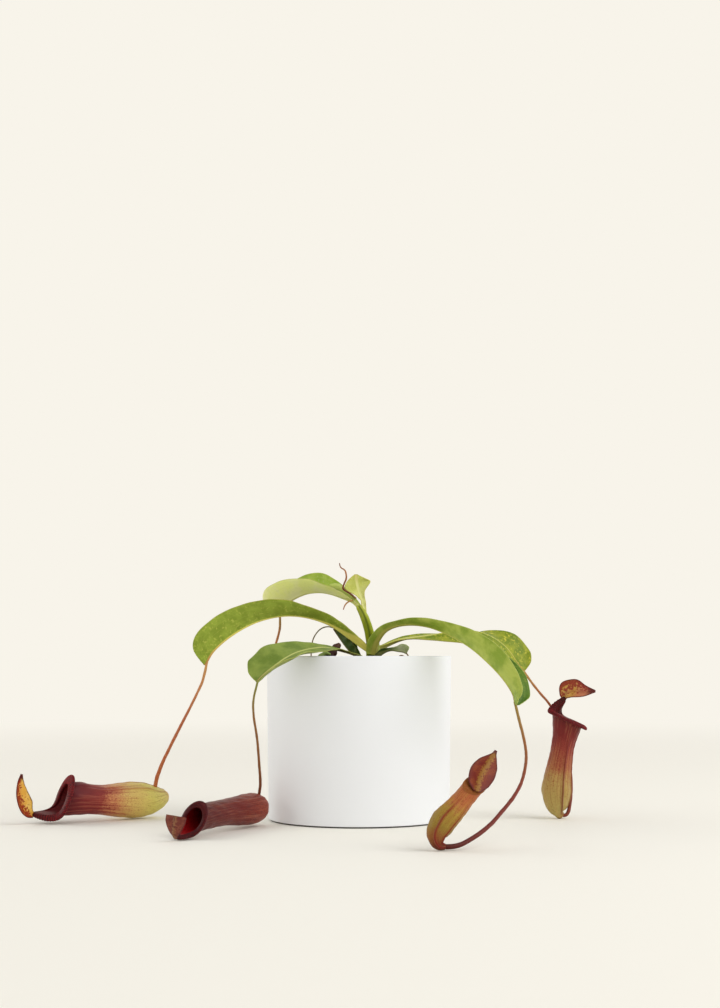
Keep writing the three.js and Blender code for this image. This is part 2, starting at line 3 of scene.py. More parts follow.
import bmesh
import bpy
import numpy as np
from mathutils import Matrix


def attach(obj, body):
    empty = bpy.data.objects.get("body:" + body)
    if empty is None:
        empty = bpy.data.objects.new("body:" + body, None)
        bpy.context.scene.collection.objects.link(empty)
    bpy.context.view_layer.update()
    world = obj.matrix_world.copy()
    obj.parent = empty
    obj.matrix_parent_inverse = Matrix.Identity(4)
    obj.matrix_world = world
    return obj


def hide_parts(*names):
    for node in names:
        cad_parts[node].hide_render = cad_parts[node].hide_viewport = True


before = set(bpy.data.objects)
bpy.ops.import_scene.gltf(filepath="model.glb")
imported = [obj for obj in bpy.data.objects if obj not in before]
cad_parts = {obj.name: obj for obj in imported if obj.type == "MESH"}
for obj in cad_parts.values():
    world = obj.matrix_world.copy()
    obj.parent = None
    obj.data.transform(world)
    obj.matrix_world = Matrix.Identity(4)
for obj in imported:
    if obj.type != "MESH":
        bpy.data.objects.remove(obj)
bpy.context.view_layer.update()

mm = 0.001  # the tables below are in millimetres, the scene in metres
scene = bpy.context.scene
print("frame loaded,", len(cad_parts), "nodes")


def linear(code):  # a web colour such as "78941e" as linear light, with alpha 1
    c = np.array([*bytes.fromhex(code)]) / 255
    return (*np.where(c < 0.04045, c / 12.92, ((c + 0.055) / 1.055) ** 2.4).tolist(), 1.0)


def turns(count):  # evenly spaced angles over one full turn
    return np.linspace(0, 2 * pi, count + 1)[:-1]


# a section carried round the upright axis
def turned(radius, height, around):
    turn = turns(around)
    return np.stack([radius * np.cos(turn), radius * np.sin(turn), height + 0 * turn], -1)


def unit(v):  # each direction at length 1
    return v / np.maximum(np.linalg.norm(v, axis=-1, keepdims=True), 1e-12)


def smoothStep(low, high, x):  # 0 at low, 1 at high, an S between them
    t = np.clip((x - low) / (high - low), 0, 1)
    return t * t * (3 - 2 * t)


def bell(x):  # 1 at 0, falling away on both sides
    return np.exp(-(x**2))


# a cubic through the points; each point's slope comes from its neighbours, weighed by root of distance
def smoothCurve(points, share):
    p = np.asarray(points, float)
    p = np.vstack([2 * p[0] - p[1], p, 2 * p[-1] - p[-2]])
    place = np.clip(share, 0, 1) * (len(p) - 3)
    span = np.minimum(place.astype(int), len(p) - 4)
    w = (place - span)[:, None]
    a, b, c, d = p[span], p[span + 1], p[span + 2], p[span + 3]
    ab, bc, cd = (np.sqrt(np.linalg.norm(v - u, axis=1))[:, None] for u, v in ((a, b), (b, c), (c, d)))
    bc = np.where(bc < 1e-4, 1, bc)
    ab = np.where(ab < 1e-4, bc, ab)
    cd = np.where(cd < 1e-4, bc, cd)
    leave = ((b - a) / ab - (c - a) / (ab + bc) + (c - b) / bc) * bc
    arrive = ((c - b) / bc - (d - b) / (bc + cd) + (d - c) / cd) * bc
    return b + leave * w + (3 * (c - b) - 2 * leave - arrive) * w**2 + (2 * (b - c) + leave + arrive) * w**3


# the curve's places and its directions there
def curveAhead(points, share):
    before, after = np.maximum(share - 1e-4, 0), np.minimum(share + 1e-4, 1)
    return smoothCurve(points, share), unit(smoothCurve(points, after) - smoothCurve(points, before))


# a direction at right angles to the path, carried from one station to the next with the least turning
def carriedSide(ahead, first):
    side = np.zeros_like(ahead)
    side[0] = unit(first - ahead[0] * (first @ ahead[0]))
    for i in range(1, len(ahead)):  # each station needs the one before it
        side[i] = unit(side[i - 1] - ahead[i] * (side[i - 1] @ ahead[i]))
    return side


# smooth unevenness: a few sine waves of seeded direction and phase, summed, about -1..1
def unevenness(p, waveLength, seed):
    count = 6
    random = np.random.default_rng(seed)
    heading = unit(random.normal(size=(count, 3))) * (2 * pi / waveLength)
    heading = heading * random.uniform(0.6, 1.6, (count, 1))
    phase = random.uniform(0, 2 * pi, count)
    return np.sin(p @ heading.T + phase).sum(-1) / sqrt(count)


def fan(middle, j, k):  # triangles from one point to the edge of a ring
    return np.stack([np.full(len(j), middle), j, k], -1)


def gridQuads(stations, around):  # quads between neighbouring rings of points
    i, j = np.meshgrid(np.arange(stations - 1) * around, np.arange(around), indexing="ij")
    k = (j + 1) % around
    return np.stack([i + j, i + k, i + around + k, i + around + j], -1).reshape(-1, 4)


# rings of points joined into one closed skin, each end drawn together to its middle; the faces are turned
# outwards if the volume inside comes out negative
def skinRings(rings, values):
    stations, around = rings.shape[:2]
    points = np.vstack([rings.reshape(-1, 3), rings[0].mean(0), rings[-1].mean(0)])
    quads = gridQuads(stations, around)
    j = np.arange(around)
    k = (j + 1) % around
    last = (stations - 1) * around
    ends = np.vstack([fan(len(points) - 2, k, j), fan(len(points) - 1, last + j, last + k)])
    corners = points[np.vstack([quads[:, [0, 1, 2]], quads[:, [0, 2, 3]], ends])]
    faces = quads.tolist() + ends.tolist()
    if (corners[:, 0] * np.cross(corners[:, 1], corners[:, 2])).sum() < 0:
        faces = [face[::-1] for face in faces]
    layers = {}
    for name, value in values.items():
        value = np.broadcast_to(value, (stations, around))
        layers[name] = np.concatenate([value.reshape(-1), [value[0].mean(), value[-1].mean()]])
    return points, faces, layers


def addObject(name, data):
    made = bpy.data.objects.new(name, data)
    scene.collection.objects.link(made)
    return made


def addMesh(name, points, faces, material):
    mesh = bpy.data.meshes.new(name)
    mesh.from_pydata(np.asarray(points).tolist(), [], faces)
    mesh.polygons.foreach_set("use_smooth", np.full(len(mesh.polygons), True))
    mesh.materials.append(material)
    return addObject(name, mesh)


def addPiece(name, skin, material, node=None):
    points, faces, layers = skin
    piece = addMesh(name, points * mm, faces, material)
    for layerName, value in layers.items():
        layer = piece.data.attributes.new(layerName, "FLOAT", "POINT")
        layer.data.foreach_set("value", np.ascontiguousarray(value, np.float32))
    piece.data.validate()
    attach(piece, "root")
    if node:
        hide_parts(node)
    return piece


class Wire:  # a node's output, which can be added, subtracted and multiplied like a number
    def __init__(self, finish, socket):
        self.finish = finish
        self.socket = socket

    __add__ = __radd__ = lambda self, other: self.finish.maths("ADD", self, other)
    __sub__ = lambda self, other: self.finish.maths("SUBTRACT", self, other)
    __rsub__ = lambda self, other: self.finish.maths("SUBTRACT", other, self)
    __mul__ = lambda self, other: self.finish.maths("MULTIPLY", self, other)


class Finish:  # a material while it is being made
    def __init__(self, name):
        self.material = bpy.data.materials.new(name)
        self.material.use_nodes = True
        self.tree = self.material.node_tree
        self.tree.nodes.clear()

    def put(self, value, socket):  # a wire is linked, a colour or a number is set
        if isinstance(value, Wire):
            self.tree.links.new(value.socket, socket)
        else:
            socket.default_value = linear(value) if isinstance(value, str) else value

    def make(self, kind, inputs, output=0, **settings):
        node = self.tree.nodes.new("ShaderNode" + kind)
        for key, value in settings.items():
            setattr(node, key, value)
        for key, value in inputs.items():
            self.put(value, node.inputs[key])
        return Wire(self, node.outputs[output])

    def layer(self, name):
        return self.make("Attribute", {}, "Fac", attribute_name=name)

    def place(self):
        return self.make("TexCoord", {}, "Object")

    def maths(self, operation, a, b=0):
        return self.make("Math", {0: a, 1: b}, operation=operation)

    def mix(self, share, a, b):
        return self.make("Mix", {0: share, 6: a, 7: b}, 2, data_type="RGBA")

    def step(self, wire, low, high):  # 0 at low, 1 at high, smooth in between
        inputs = {"Value": wire, "From Min": low, "From Max": high}
        return self.make("MapRange", inputs, interpolation_type="SMOOTHSTEP")

    def noise(self, scale, detail=3, roughness=0.55, where=None):
        inputs = {"Vector": where or self.place(), "Scale": scale, "Detail": detail, "Roughness": roughness}
        return self.make("TexNoise", inputs)

    def stretched(self, stretch):
        return self.make("Mapping", {"Vector": self.place(), "Scale": stretch})

    def ramp(self, wire, stops):
        colour = self.make("ValToRGB", {"Fac": wire})
        marks = colour.socket.node.color_ramp.elements
        for mark, (place, stop) in zip((marks[0], marks[1]), (stops[0], stops[-1])):
            mark.position = place
            mark.color = linear(stop)
        for place, stop in stops[1:-1]:
            marks.new(place).color = linear(stop)
        return colour

    def over(self, colour, where, paint):  # paint is a colour and how strongly it covers
        return self.mix(where * paint[1], colour, paint[0])

    def faces(self, mottle, look):  # two colours mottled together on a blade's upper and on its lower face
        return self.mix(self.layer("face"), self.mix(mottle, *look["under"]), self.mix(mottle, *look["top"]))

    def show(self, shader):
        output = self.tree.nodes.new("ShaderNodeOutputMaterial")
        self.put(shader, output.inputs["Surface"])
        return self.material

    def skin(self, colour, roughness, height, distance=0.0003, strength=0.5, specular=0.5):
        bump = self.make("Bump", {"Height": height, "Strength": strength, "Distance": distance})
        inputs = {"Base Color": colour, "Roughness": roughness, "Specular IOR Level": specular}
        return self.show(self.make("BsdfPrincipled", {**inputs, "Normal": bump}))


cameraView = {
    "aside": 0.0009,
    "distance": 1.45,  # metres in front of the pot's middle
    "height": 0.1463,  # level with the rim
    "lens": 57.75,
    "riseShare": 152 / 1008,  # how far below the image's middle the rim line is
}
camera = addObject("camera", bpy.data.cameras.new("camera"))
camera.location = (cameraView["aside"], -cameraView["distance"], cameraView["height"])
camera.rotation_euler = (radians(90), 0, 0)
camera.data.lens = cameraView["lens"]
camera.data.sensor_width = 36
camera.data.shift_y = cameraView["riseShare"]
camera.data.clip_start = 0.01
scene.camera = camera

studio = {
    "sky": "ecf3ff", "skyStrength": 0.42,
    "aim": 0.1,  # height of what the lights point at
    "key": {"at": (2.1, -0.9, 2.0), "size": 2.4, "power": 42},
    "fill": {"at": (-2.3, 0.5, 1.4), "size": 2.2, "power": 13},
}


def addLight(name):
    x, y, z = studio[name]["at"]
    data = bpy.data.lights.new(name, "AREA")
    data.size = studio[name]["size"]
    data.energy = studio[name]["power"]
    light = addObject(name, data)
    light.location = (x, y, z)
    light.rotation_euler = (atan2(hypot(x, y), z - studio["aim"]), 0, atan2(x, -y))


scene.world = bpy.data.worlds.new("studio")
scene.world.use_nodes = True
background = scene.world.node_tree.nodes["Background"]
background.inputs["Color"].default_value = linear(studio["sky"])
background.inputs["Strength"].default_value = studio["skyStrength"]
scene.view_settings.view_transform = "Standard"
addLight("key")
addLight("fill")

# the floor, in metres: a flat disc that curves up all round, by a quarter turn, into a wall
floorLook = {
    "flatTo": 2.6, "curve": 1.2, "top": 4.5, "sides": 96, "paper": "f3f0e8", "backdrop": "f8f4ea",
    "glowFrom": 0.6, "glowTo": 2.3,  # how far from the middle the paper takes on its own even glow
}


def floorPaper():
    look = floorLook
    f = Finish("floorPaper")
    away = f.make("VectorMath", {0: f.place()}, "Value", operation="LENGTH")
    inputs = {"Base Color": look["paper"], "Roughness": 0.7, "Specular IOR Level": 0.3}
    paper = f.make("BsdfPrincipled", inputs)
    glow = f.make("Emission", {"Color": look["backdrop"]})
    return f.show(f.make("MixShader", {0: f.step(away, look["glowFrom"], look["glowTo"]), 1: paper, 2: glow}))


def addFloor():
    look = floorLook
    bend = np.linspace(0, pi / 2, 24)
    curved = look["flatTo"] + look["curve"] * np.sin(bend)
    radius = np.concatenate([[0.4, 1.2], curved, curved[-1:]])[:, None]
    height = np.concatenate([[0, 0], look["curve"] * (1 - np.cos(bend)), [look["top"]]])[:, None]
    points = np.vstack([turned(radius, height, look["sides"]).reshape(-1, 3), [[0, 0, 0]]])
    j = np.arange(look["sides"])
    centre = fan(len(points) - 1, j, (j + 1) % look["sides"])
    faces = gridQuads(len(radius), look["sides"])[:, [0, 3, 2, 1]].tolist() + centre.tolist()
    floor = addMesh("floor", points, faces, floorPaper())


addFloor()
print("camera, lights and floor made")

# pot and potting mix

potSize = {
    "height": 146.3, "topRadius": 82.5, "bottomRadius": 81, "footRadius": 79.5, "footHeight": 1.2,
    "wall": 4, "floor": 6, "rimEase": 1.2, "bottomEase": 1.12, "footEase": 0.5, "insetEase": 0.3,
    "around": 256,
}
# the glaze's two tones, and a dark colour that is painted shadow on the foot ring: the shade in the gap under
# the pot
potLook = {"glaze": ("eaedf3", "f0f3f9"), "foot": "3a3835"}


# the pot's section from below to inside, each corner eased by a small parabola
def potSection():
    s = potSize
    corners = [
        (0, 0, 0), (s["footRadius"], 0, s["footEase"]), (s["footRadius"], s["footHeight"], s["insetEase"]),
        (s["bottomRadius"], s["footHeight"], s["bottomEase"]), (s["topRadius"], s["height"], s["rimEase"]),
        (s["topRadius"] - s["wall"], s["height"], s["rimEase"]),
        (s["bottomRadius"] - s["wall"], s["floor"], s["floor"]), (0, s["floor"], 0),
    ]
    w = np.linspace(0, 1, 7)[:, None]
    section = []
    for before, (r, z, ease), after in zip(corners, corners[1:], corners[2:]):
        here = np.array([r, z])
        start = here + unit(np.array(before[:2]) - here) * ease
        end = here + unit(np.array(after[:2]) - here) * ease
        section.append((1 - w) ** 2 * start + 2 * w * (1 - w) * here + w**2 * end)
    return np.vstack(section)


def whiteGlaze():
    f = Finish("whiteGlaze")
    cloud = f.noise(9)
    # the foot ring takes painted shadow, the dark of the gap under the pot
    colour = f.mix(f.layer("foot"), f.mix(cloud, *potLook["glaze"]), potLook["foot"])
    return f.skin(colour, 0.5 + cloud * 0.12, f.noise(700, 2), strength=0.06)


# the pot: its section turned about the upright axis
def makePot():
    radius, height = potSection().T[..., None]
    # the foot ring, which is painted dark as the shadow under the pot
    inFootShadow = (height < potSize["footHeight"] + 0.1) * (radius < potSize["footRadius"] + 0.1)
    skin = skinRings(turned(radius, height, potSize["around"]), {"foot": inFootShadow})
    addPiece("potShell", skin, whiteGlaze(), "pot")


mixLook = {
    "level": 138, "mound": 3, "moundArea": 1200, "heave": 1.2, "clear": 0.25, "around": 128, "rings": 59,
    "colours": [(0.3, "261b14"), (0.5, "4a3626"), (0.68, "70543a")],
}
mixRadius = potSize["topRadius"] - potSize["wall"] - mixLook["clear"]


def mixHeight(x, y):  # two crossed waves and a low mound round the stem
    heave = np.sin(0.21 * x + 1) * np.sin(0.17 * y) + 0.6 * np.sin(0.43 * x - 0.31 * y + 2)
    mound = mixLook["mound"] * np.exp(-(x * x + y * y) / mixLook["moundArea"])
    return mixLook["level"] + mixLook["heave"] * heave + mound


def dampMix():
    f = Finish("dampMix")
    crumbs = f.noise(420, 5, 0.7)
    return f.skin(f.ramp(crumbs, mixLook["colours"]), 0.92, crumbs, 0.002, 0.9)


# the mix: a plug that follows the pot's inside, its top raised by mixHeight and two finer grains
def makeMix():
    side = potSize["bottomRadius"] - potSize["wall"] - 0.3
    inwards = np.linspace(1, 0, mixLook["rings"] + 1)[:-1]
    radius = np.concatenate([[side - 7, side, side + 0.6], mixRadius * inwards])[:, None]
    rings = turned(radius, 0 * radius, mixLook["around"])
    z = mixHeight(rings[..., 0], rings[..., 1])
    z = z + unevenness(rings, 5, 3) * 0.7 + unevenness(rings, 2.4, 4) * 0.4
    z[:3] = np.array([6.3, 13, 60])[:, None]
    rings[..., 2] = z
    addPiece("mixBed", skinRings(rings, {}), dampMix(), "soil")


chipLook = {
    "count": 260, "seed": 7, "length": (2.2, 5.2), "width": (0.5, 0.9), "thickness": (0.22, 0.42),
    "tip": 0.35, "above": (0.2, 1.5), "fromWall": 6, "rings": 7, "sides": 8, "squareness": 0.6,
    "colours": [(0, "3a261a"), (0.5, "68482e"), (1, "926c46")], "dark": "302016",
}


def barkSkin():
    f = Finish("barkChips")
    fibre = f.noise(500, 4, 0.65, f.stretched((1, 1, 3)))
    colour = f.mix(fibre * 0.7, f.ramp(f.layer("shade"), chipLook["colours"]), chipLook["dark"])
    return f.skin(colour, 0.85, fibre, 0.0008, 0.8)


def closePoles(mesh):  # joins points that lie on each other, as at a ball's poles
    work = bmesh.new()
    work.from_mesh(mesh)
    bmesh.ops.remove_doubles(work, verts=work.verts, dist=1e-6)
    bmesh.ops.recalc_face_normals(work, faces=work.faces)
    work.to_mesh(mesh)
    work.free()


# bark chips on the mix, all in one piece: balls with squared sides, squashed, turned and tipped
def makeChips():
    look = chipLook
    count = look["count"]
    random = np.random.default_rng(look["seed"])
    draw = lambda low, high: random.uniform(low, high, count)
    angle = draw(0, 2 * pi)
    away = np.sqrt(draw(0.02, 1)) * (mixRadius - look["fromWall"])
    centre = np.stack([away * np.cos(angle), away * np.sin(angle)], -1)
    level = mixHeight(centre[:, 0], centre[:, 1]) + draw(*look["above"])
    length = draw(*look["length"])
    size = length[:, None] * np.stack([np.ones(count), draw(*look["width"]), draw(*look["thickness"])], -1)
    a, b = np.meshgrid(np.linspace(0, pi, look["rings"]), turns(look["sides"]), indexing="ij")
    form = np.stack([np.sin(a) * np.cos(b), np.sin(a) * np.sin(b), np.cos(a)], -1).reshape(-1, 3)
    form = np.sign(form) * np.abs(form) ** look["squareness"]
    swell = 1 + 0.12 * unevenness(form[None] * 3 + centre[:, None, :1], 3, 9)[..., None]
    x, y, z = np.moveaxis(form[None] * size[:, None] * swell, -1, 0)
    spin, tip = draw(0, 2 * pi), draw(-look["tip"], look["tip"])
    c, s = np.cos(spin)[:, None], np.sin(spin)[:, None]
    z = z + np.tan(tip)[:, None] * x + level[:, None]
    chips = np.stack([c * x - s * y + centre[:, :1], s * x + c * y + centre[:, 1:], z], -1)
    one = gridQuads(look["rings"], look["sides"])[:, [0, 3, 2, 1]]
    faces = (one[None] + (np.arange(count) * len(form))[:, None, None]).reshape(-1, 4).tolist()
    shade = np.repeat(draw(0, 1), len(form))
    piece = addPiece("barkChips", (chips.reshape(-1, 3), faces, {"shade": shade}), barkSkin())
    closePoles(piece.data)


makePot()
makeMix()
makeChips()
print("pot and mix made")

# rods: the stem, the tendrils and the small dry things

rodForm = {"stationLength": 1.1, "around": 20}


# a round rod along a path, its ends drawn in to half balls; radii are spread evenly over its length
def rodRings(points, radii, around=rodForm["around"], wobble=0, seed=1):
    fine = smoothCurve(points, np.linspace(0, 1, 800))
    steps = np.linalg.norm(np.diff(fine, axis=0), axis=1)
    length = steps.sum()
    fineShare = np.concatenate([[0], np.cumsum(steps)]) / length
    end = radii[-1] / length * np.linspace(0, 1, 5)
    share = np.linspace(0, 1, max(int(length / rodForm["stationLength"]), 12))
    share = np.unique(np.concatenate([share, end, 1 - end]))
    centre = np.stack([np.interp(share, fineShare, fine[:, i]) for i in range(3)], -1)
    ahead = unit(np.gradient(centre, axis=0))
    side = carriedSide(ahead, np.array([0.3, 1, 0.2]))
    other = np.cross(ahead, side)
    radius = np.interp(share, np.linspace(0, 1, len(radii)), radii)
    fromEnd = np.clip(np.minimum(share, 1 - share) * length / radius, 0, 1)
    radius = radius * np.sqrt(np.clip(1 - (1 - fromEnd) ** 2, 0.01, 1))
    turn = turns(around)[None, :, None]
    spread = np.cos(turn) * side[:, None] + np.sin(turn) * other[:, None]
    uneven = 1 + wobble * unevenness(centre[:, None] + spread * radius[:, None, None], 7, seed)
    return centre[:, None] + spread * (radius[:, None] * uneven)[..., None], share[:, None]


# a tendril's skin: one colour running into another along it, with faint streaks
def tendrilSkin(name, look):
    f = Finish(name)
    streaks = f.noise(900)
    colour = f.ramp(f.layer("along"), look["colours"])
    colour = f.mix(f.step(streaks, 0.5, 0.7) * 0.35, colour, look["streak"])
    return f.skin(colour, 0.34 + streaks * 0.2, streaks, 0.0001, specular=0.25)


# points are the middle line, radii are spread evenly over it, and colours run from the leaf to the end
tendrils = dict(
    tendril_left_large=dict(
        points=[
            (-137, 10, 142.2), (-139.4, 10, 130.7), (-141.8, 11, 122.4), (-146.5, 12, 112.3),
            (-152.4, 13, 100.5), (-162, 14, 82), (-171, 14, 64), (-178.4, 14, 48.6), (-182.9, 14, 36),
            (-184.8, 13.6, 27),
        ],
        radii=(1.2, 1.2, 1.3, 1.5, 1.9), slot="tendril_tan", streak="d6aa78",
        colours=[(0, "bc8e52"), (0.2, "be7e50"), (0.45, "ac5e3c"), (1, "b05c2e")],
    ),
    tendril_left_small=dict(
        points=[
            (-84.6, -96.6, 125.6), (-88.4, -94, 109.5), (-88.8, -87, 96.9), (-86.6, -75, 75.9),
            (-85.4, -64, 52), (-85, -56, 36), (-86.4, -52, 26),
        ],
        radii=(0.9, 1, 1.1, 1.3), slot="tendril_brown",
        colours=[(0, "80843c"), (0.3, "8c6238"), (0.7, "855531"), (1, "703a24")],
    ),
    tendril_right_front=dict(
        points=[
            (129.6, -104, 109), (132.6, -110, 94.1), (135.3, -122, 79.2), (135.9, -136, 66.9),
            (133.8, -150, 57.1), (128.8, -166, 45.3), (120.7, -183, 35.1), (111, -198, 26.1),
            (100.6, -212, 17.1), (89.5, -224, 10.3), (78.8, -232, 5.2), (71, -236, 3.3), (63.5, -237, 3),
        ],
        radii=(1.2, 1.2, 1.4, 1.7, 2), slot="tendril_red",
        colours=[(0, "947e3c"), (0.2, "925c30"), (0.5, "782818"), (0.8, "6a1c12"), (1, "4c100c")],
    ),
    tendril_right_back=dict(
        points=[
            (149.6, 29.8, 134), (158.3, 29.5, 121.6), (165.3, 27, 112.5), (175, 27, 100.7), (185, 28, 78.8),
            (191.5, 24, 50), (192.2, 14, 29), (190.3, 8, 14), (188.2, 4.6, 6.2), (186.1, 3.3, 3.5),
            (182.5, 3, 3),
        ],
        radii=(1.1, 1.1, 1.3, 1.7), slot="tendril_tan",
        colours=[(0, "b28e4c"), (0.15, "aa6a3a"), (0.35, "863824"), (1, "763224")],
    ),
    tendril_top=dict(
        points=[
            (-73, 43.6, 183.6), (-73.5, 52, 173), (-75.5, 60, 165), (-79, 67, 154), (-82, 74, 138),
            (-82, 79, 120), (-79, 83, 104), (-74, 88, 93), (-68, 93, 90), (-64, 95, 94),
        ],
        radii=(1.1, 1.1, 1, 0.8), slot="tendril_tan",
        colours=[(0, "b09654"), (0.15, "b87846"), (1, "925432")],
    ),
    tendril_youngest=dict(
        points=[
            (-2.4, -5, 197.6), (-8, -9.6, 202), (-14.2, -12.5, 206.3), (-13.2, -13, 210.5),
            (-11.5, -13, 214.4), (-11.3, -13, 218), (-12.3, -13, 222), (-13.9, -12.5, 223.6),
            (-15.3, -12, 224.2), (-16.7, -11.5, 226), (-17.4, -11, 229),
        ],
        radii=(0.8, 0.8, 0.75, 0.45), slot="tendril_red",
        colours=[(0, "967840"), (0.2, "683222"), (0.5, "763e24"), (0.75, "b0703c"), (1, "6e3c26")],
    ),
    tendril_hook=dict(
        points=[
            (-5.2, -4.2, 196.2), (-9.6, -6, 194.6), (-12.6, -7, 191.5), (-14, -7.4, 187.5),
        ],
        radii=(0.7, 0.7, 0.6, 0.4), slot="tendril_tan", colours=[(0, "be9654"), (1, "a05434")],
    ),
    tendril_crown_left=dict(
        points=[
            (-21.4, 15, 171.2), (-28.5, 14.5, 172.8), (-35, 13, 170.5), (-41, 10, 162.5), (-42.9, 6, 152),
            (-43, 3, 143), (-43, 1, 136),
        ],
        radii=(0.55, 0.55), slot="tendril_brown", colours=[(0, "6e683c"), (1, "7a5838")],
    ),
    tendril_crown_right=dict(
        points=[
            (41.4, -13.5, 149.8), (43.6, -14, 146.6), (44.8, -14.4, 143.6), (45.2, -14.8, 141.2),
        ],
        radii=(0.6, 0.6, 0.6, 0.4), slot="tendril_brown", colours=[(0, "826e42"), (1, "70482e")],
    ),
)
tendrilStreak = "683e28"

for name, spec in tendrils.items():
    rings, along = rodRings(spec["points"], spec["radii"], wobble=0.05, seed=len(name))
    skin = tendrilSkin(name, {"streak": tendrilStreak, **spec})
    addPiece(name + "_cord", skinRings(rings, {"along": along}), skin, name)
print("tendrils made")

stem = {
    "points": [
        (10.5, 0, 112), (10.5, 0, 135), (10.4, 0, 150), (10.3, 0, 161), (7.2, 0, 175), (2.6, 0, 186),
        (-1.2, 0, 192),
    ],
    "radii": (3.4, 3.6, 3.9, 4.2, 4.2, 3.9, 2.6), "around": 72,
    "seamStart": 3, "seamTurn": 0.6, "seamWidth": 0.3,  # in radians
    "seamDepth": 0.13,  # as a share of the radius
    "colours": [(0, "54560e"), (0.45, "828a0e"), (0.75, "909c18"), (1, "b4ba46")],
    # the last colour is painted shade for the seam's groove
    "streak": "687424", "seamShade": "3c4e0c",
}


def stemSkin():
    f = Finish("stemSkin")
    streaks = f.noise(260, 3, 0.6, f.stretched((1, 1, 0.25)))
    colour = f.ramp(f.layer("along"), stem["colours"])
    colour = f.mix(f.step(streaks, 0.45, 0.7) * 0.4, colour, stem["streak"])
    # painted shade: the seam's groove is darkened
    colour = f.mix(f.layer("channel") * 0.8, colour, stem["seamShade"])
    return f.skin(colour, 0.4 + streaks * 0.2, streaks, 0.0004, specular=0.15)


# the stem: a rod with a shallow seam that turns slowly round it where leaf bases run down
def makeStem():
    rings, along = rodRings(stem["points"], stem["radii"], stem["around"], 0.03, 5)
    middle = rings.mean(1, keepdims=True)
    fromSeam = turns(stem["around"])[None] - stem["seamStart"] - stem["seamTurn"] * along
    channel = bell(np.angle(np.exp(1j * fromSeam)) / stem["seamWidth"])
    rings = middle + (rings - middle) * (1 - stem["seamDepth"] * channel)[..., None]
    addPiece("stemShoot", skinRings(rings, {"along": along, "channel": channel}), stemSkin(), "stem")


makeStem()

smallThings = dict(
    leaf_rolled=dict(
        points=[
            (-3.6, -4.2, 196.2), (-9, -5.2, 200.8), (-14.5, -6, 205.6), (-20, -6.8, 208.6),
            (-26.2, -7.4, 209.8),
        ],
        radii=(0.9, 1.6, 2.6, 3, 0.7), wobble=0.05, colours=[(0, "a0b04c"), (0.6, "bac868"), (1, "b4c460")],
        streak="a0a858", slot="leaf_young",
    ),
    pitcher_dried=dict(
        points=[
            (-32, -9, 136.5), (-28.5, -8.6, 143), (-24.5, -8, 148.5), (-21, -7, 153.5), (-16.5, -6, 157.3),
        ],
        radii=(1.2, 4, 5, 3.2, 2.4), wobble=0.14, colours=[(0, "2c1812"), (0.6, "3a1e16"), (1, "563424")],
        streak="281814", slot="dry_brown",
    ),
    scrap_left=dict(
        points=[
            (-36, -14, 138), (-34.5, -14, 144.5), (-29.5, -14, 148.6), (-25, -13.8, 147.6),
        ],
        radii=(2, 3, 2.2, 0.9), wobble=0.14, colours=[(0, "686e38"), (1, "8ca654")], streak="607438",
        slot="leaf_blue_green",
    ),
    scrap_right=dict(
        points=[
            (33.5, -22, 138), (34.4, -22, 144), (37, -22, 146.4), (40.2, -22, 145.8),
        ],
        radii=(0.9, 1, 0.9, 0.6), wobble=0.14, colours=[(0, "5c402a"), (1, "785638")], streak="402c1e",
        slot="dry_brown",
    ),
)
for name, spec in smallThings.items():
    rings, along = rodRings(spec["points"], spec["radii"], 40, spec["wobble"], 11)
    addPiece(name + "_body", skinRings(rings, {"along": along}), tendrilSkin(name, spec), name)
print("stem and small things made")

# blades: the leaves and the pitchers' lids

bladeForm = {
    "thickness": 0.8, "edgeRound": 0.5, "cupping": 0.07, "foldRounding": 0.9, "softening": 0.03,
    "ripples": 5, "ribDepth": 1, "ribWidth": 1.3, "groove": 0.3, "grooveWidth": 0.7,
    "across": [  # places from the rib, 0, to the edge, 1
        0, 0.015, 0.03, 0.05, 0.08, 0.12, 0.18, 0.25, 0.33, 0.42, 0.51, 0.6, 0.69, 0.77, 0.84, 0.9, 0.94,
        0.97, 0.988, 1,
    ],
}


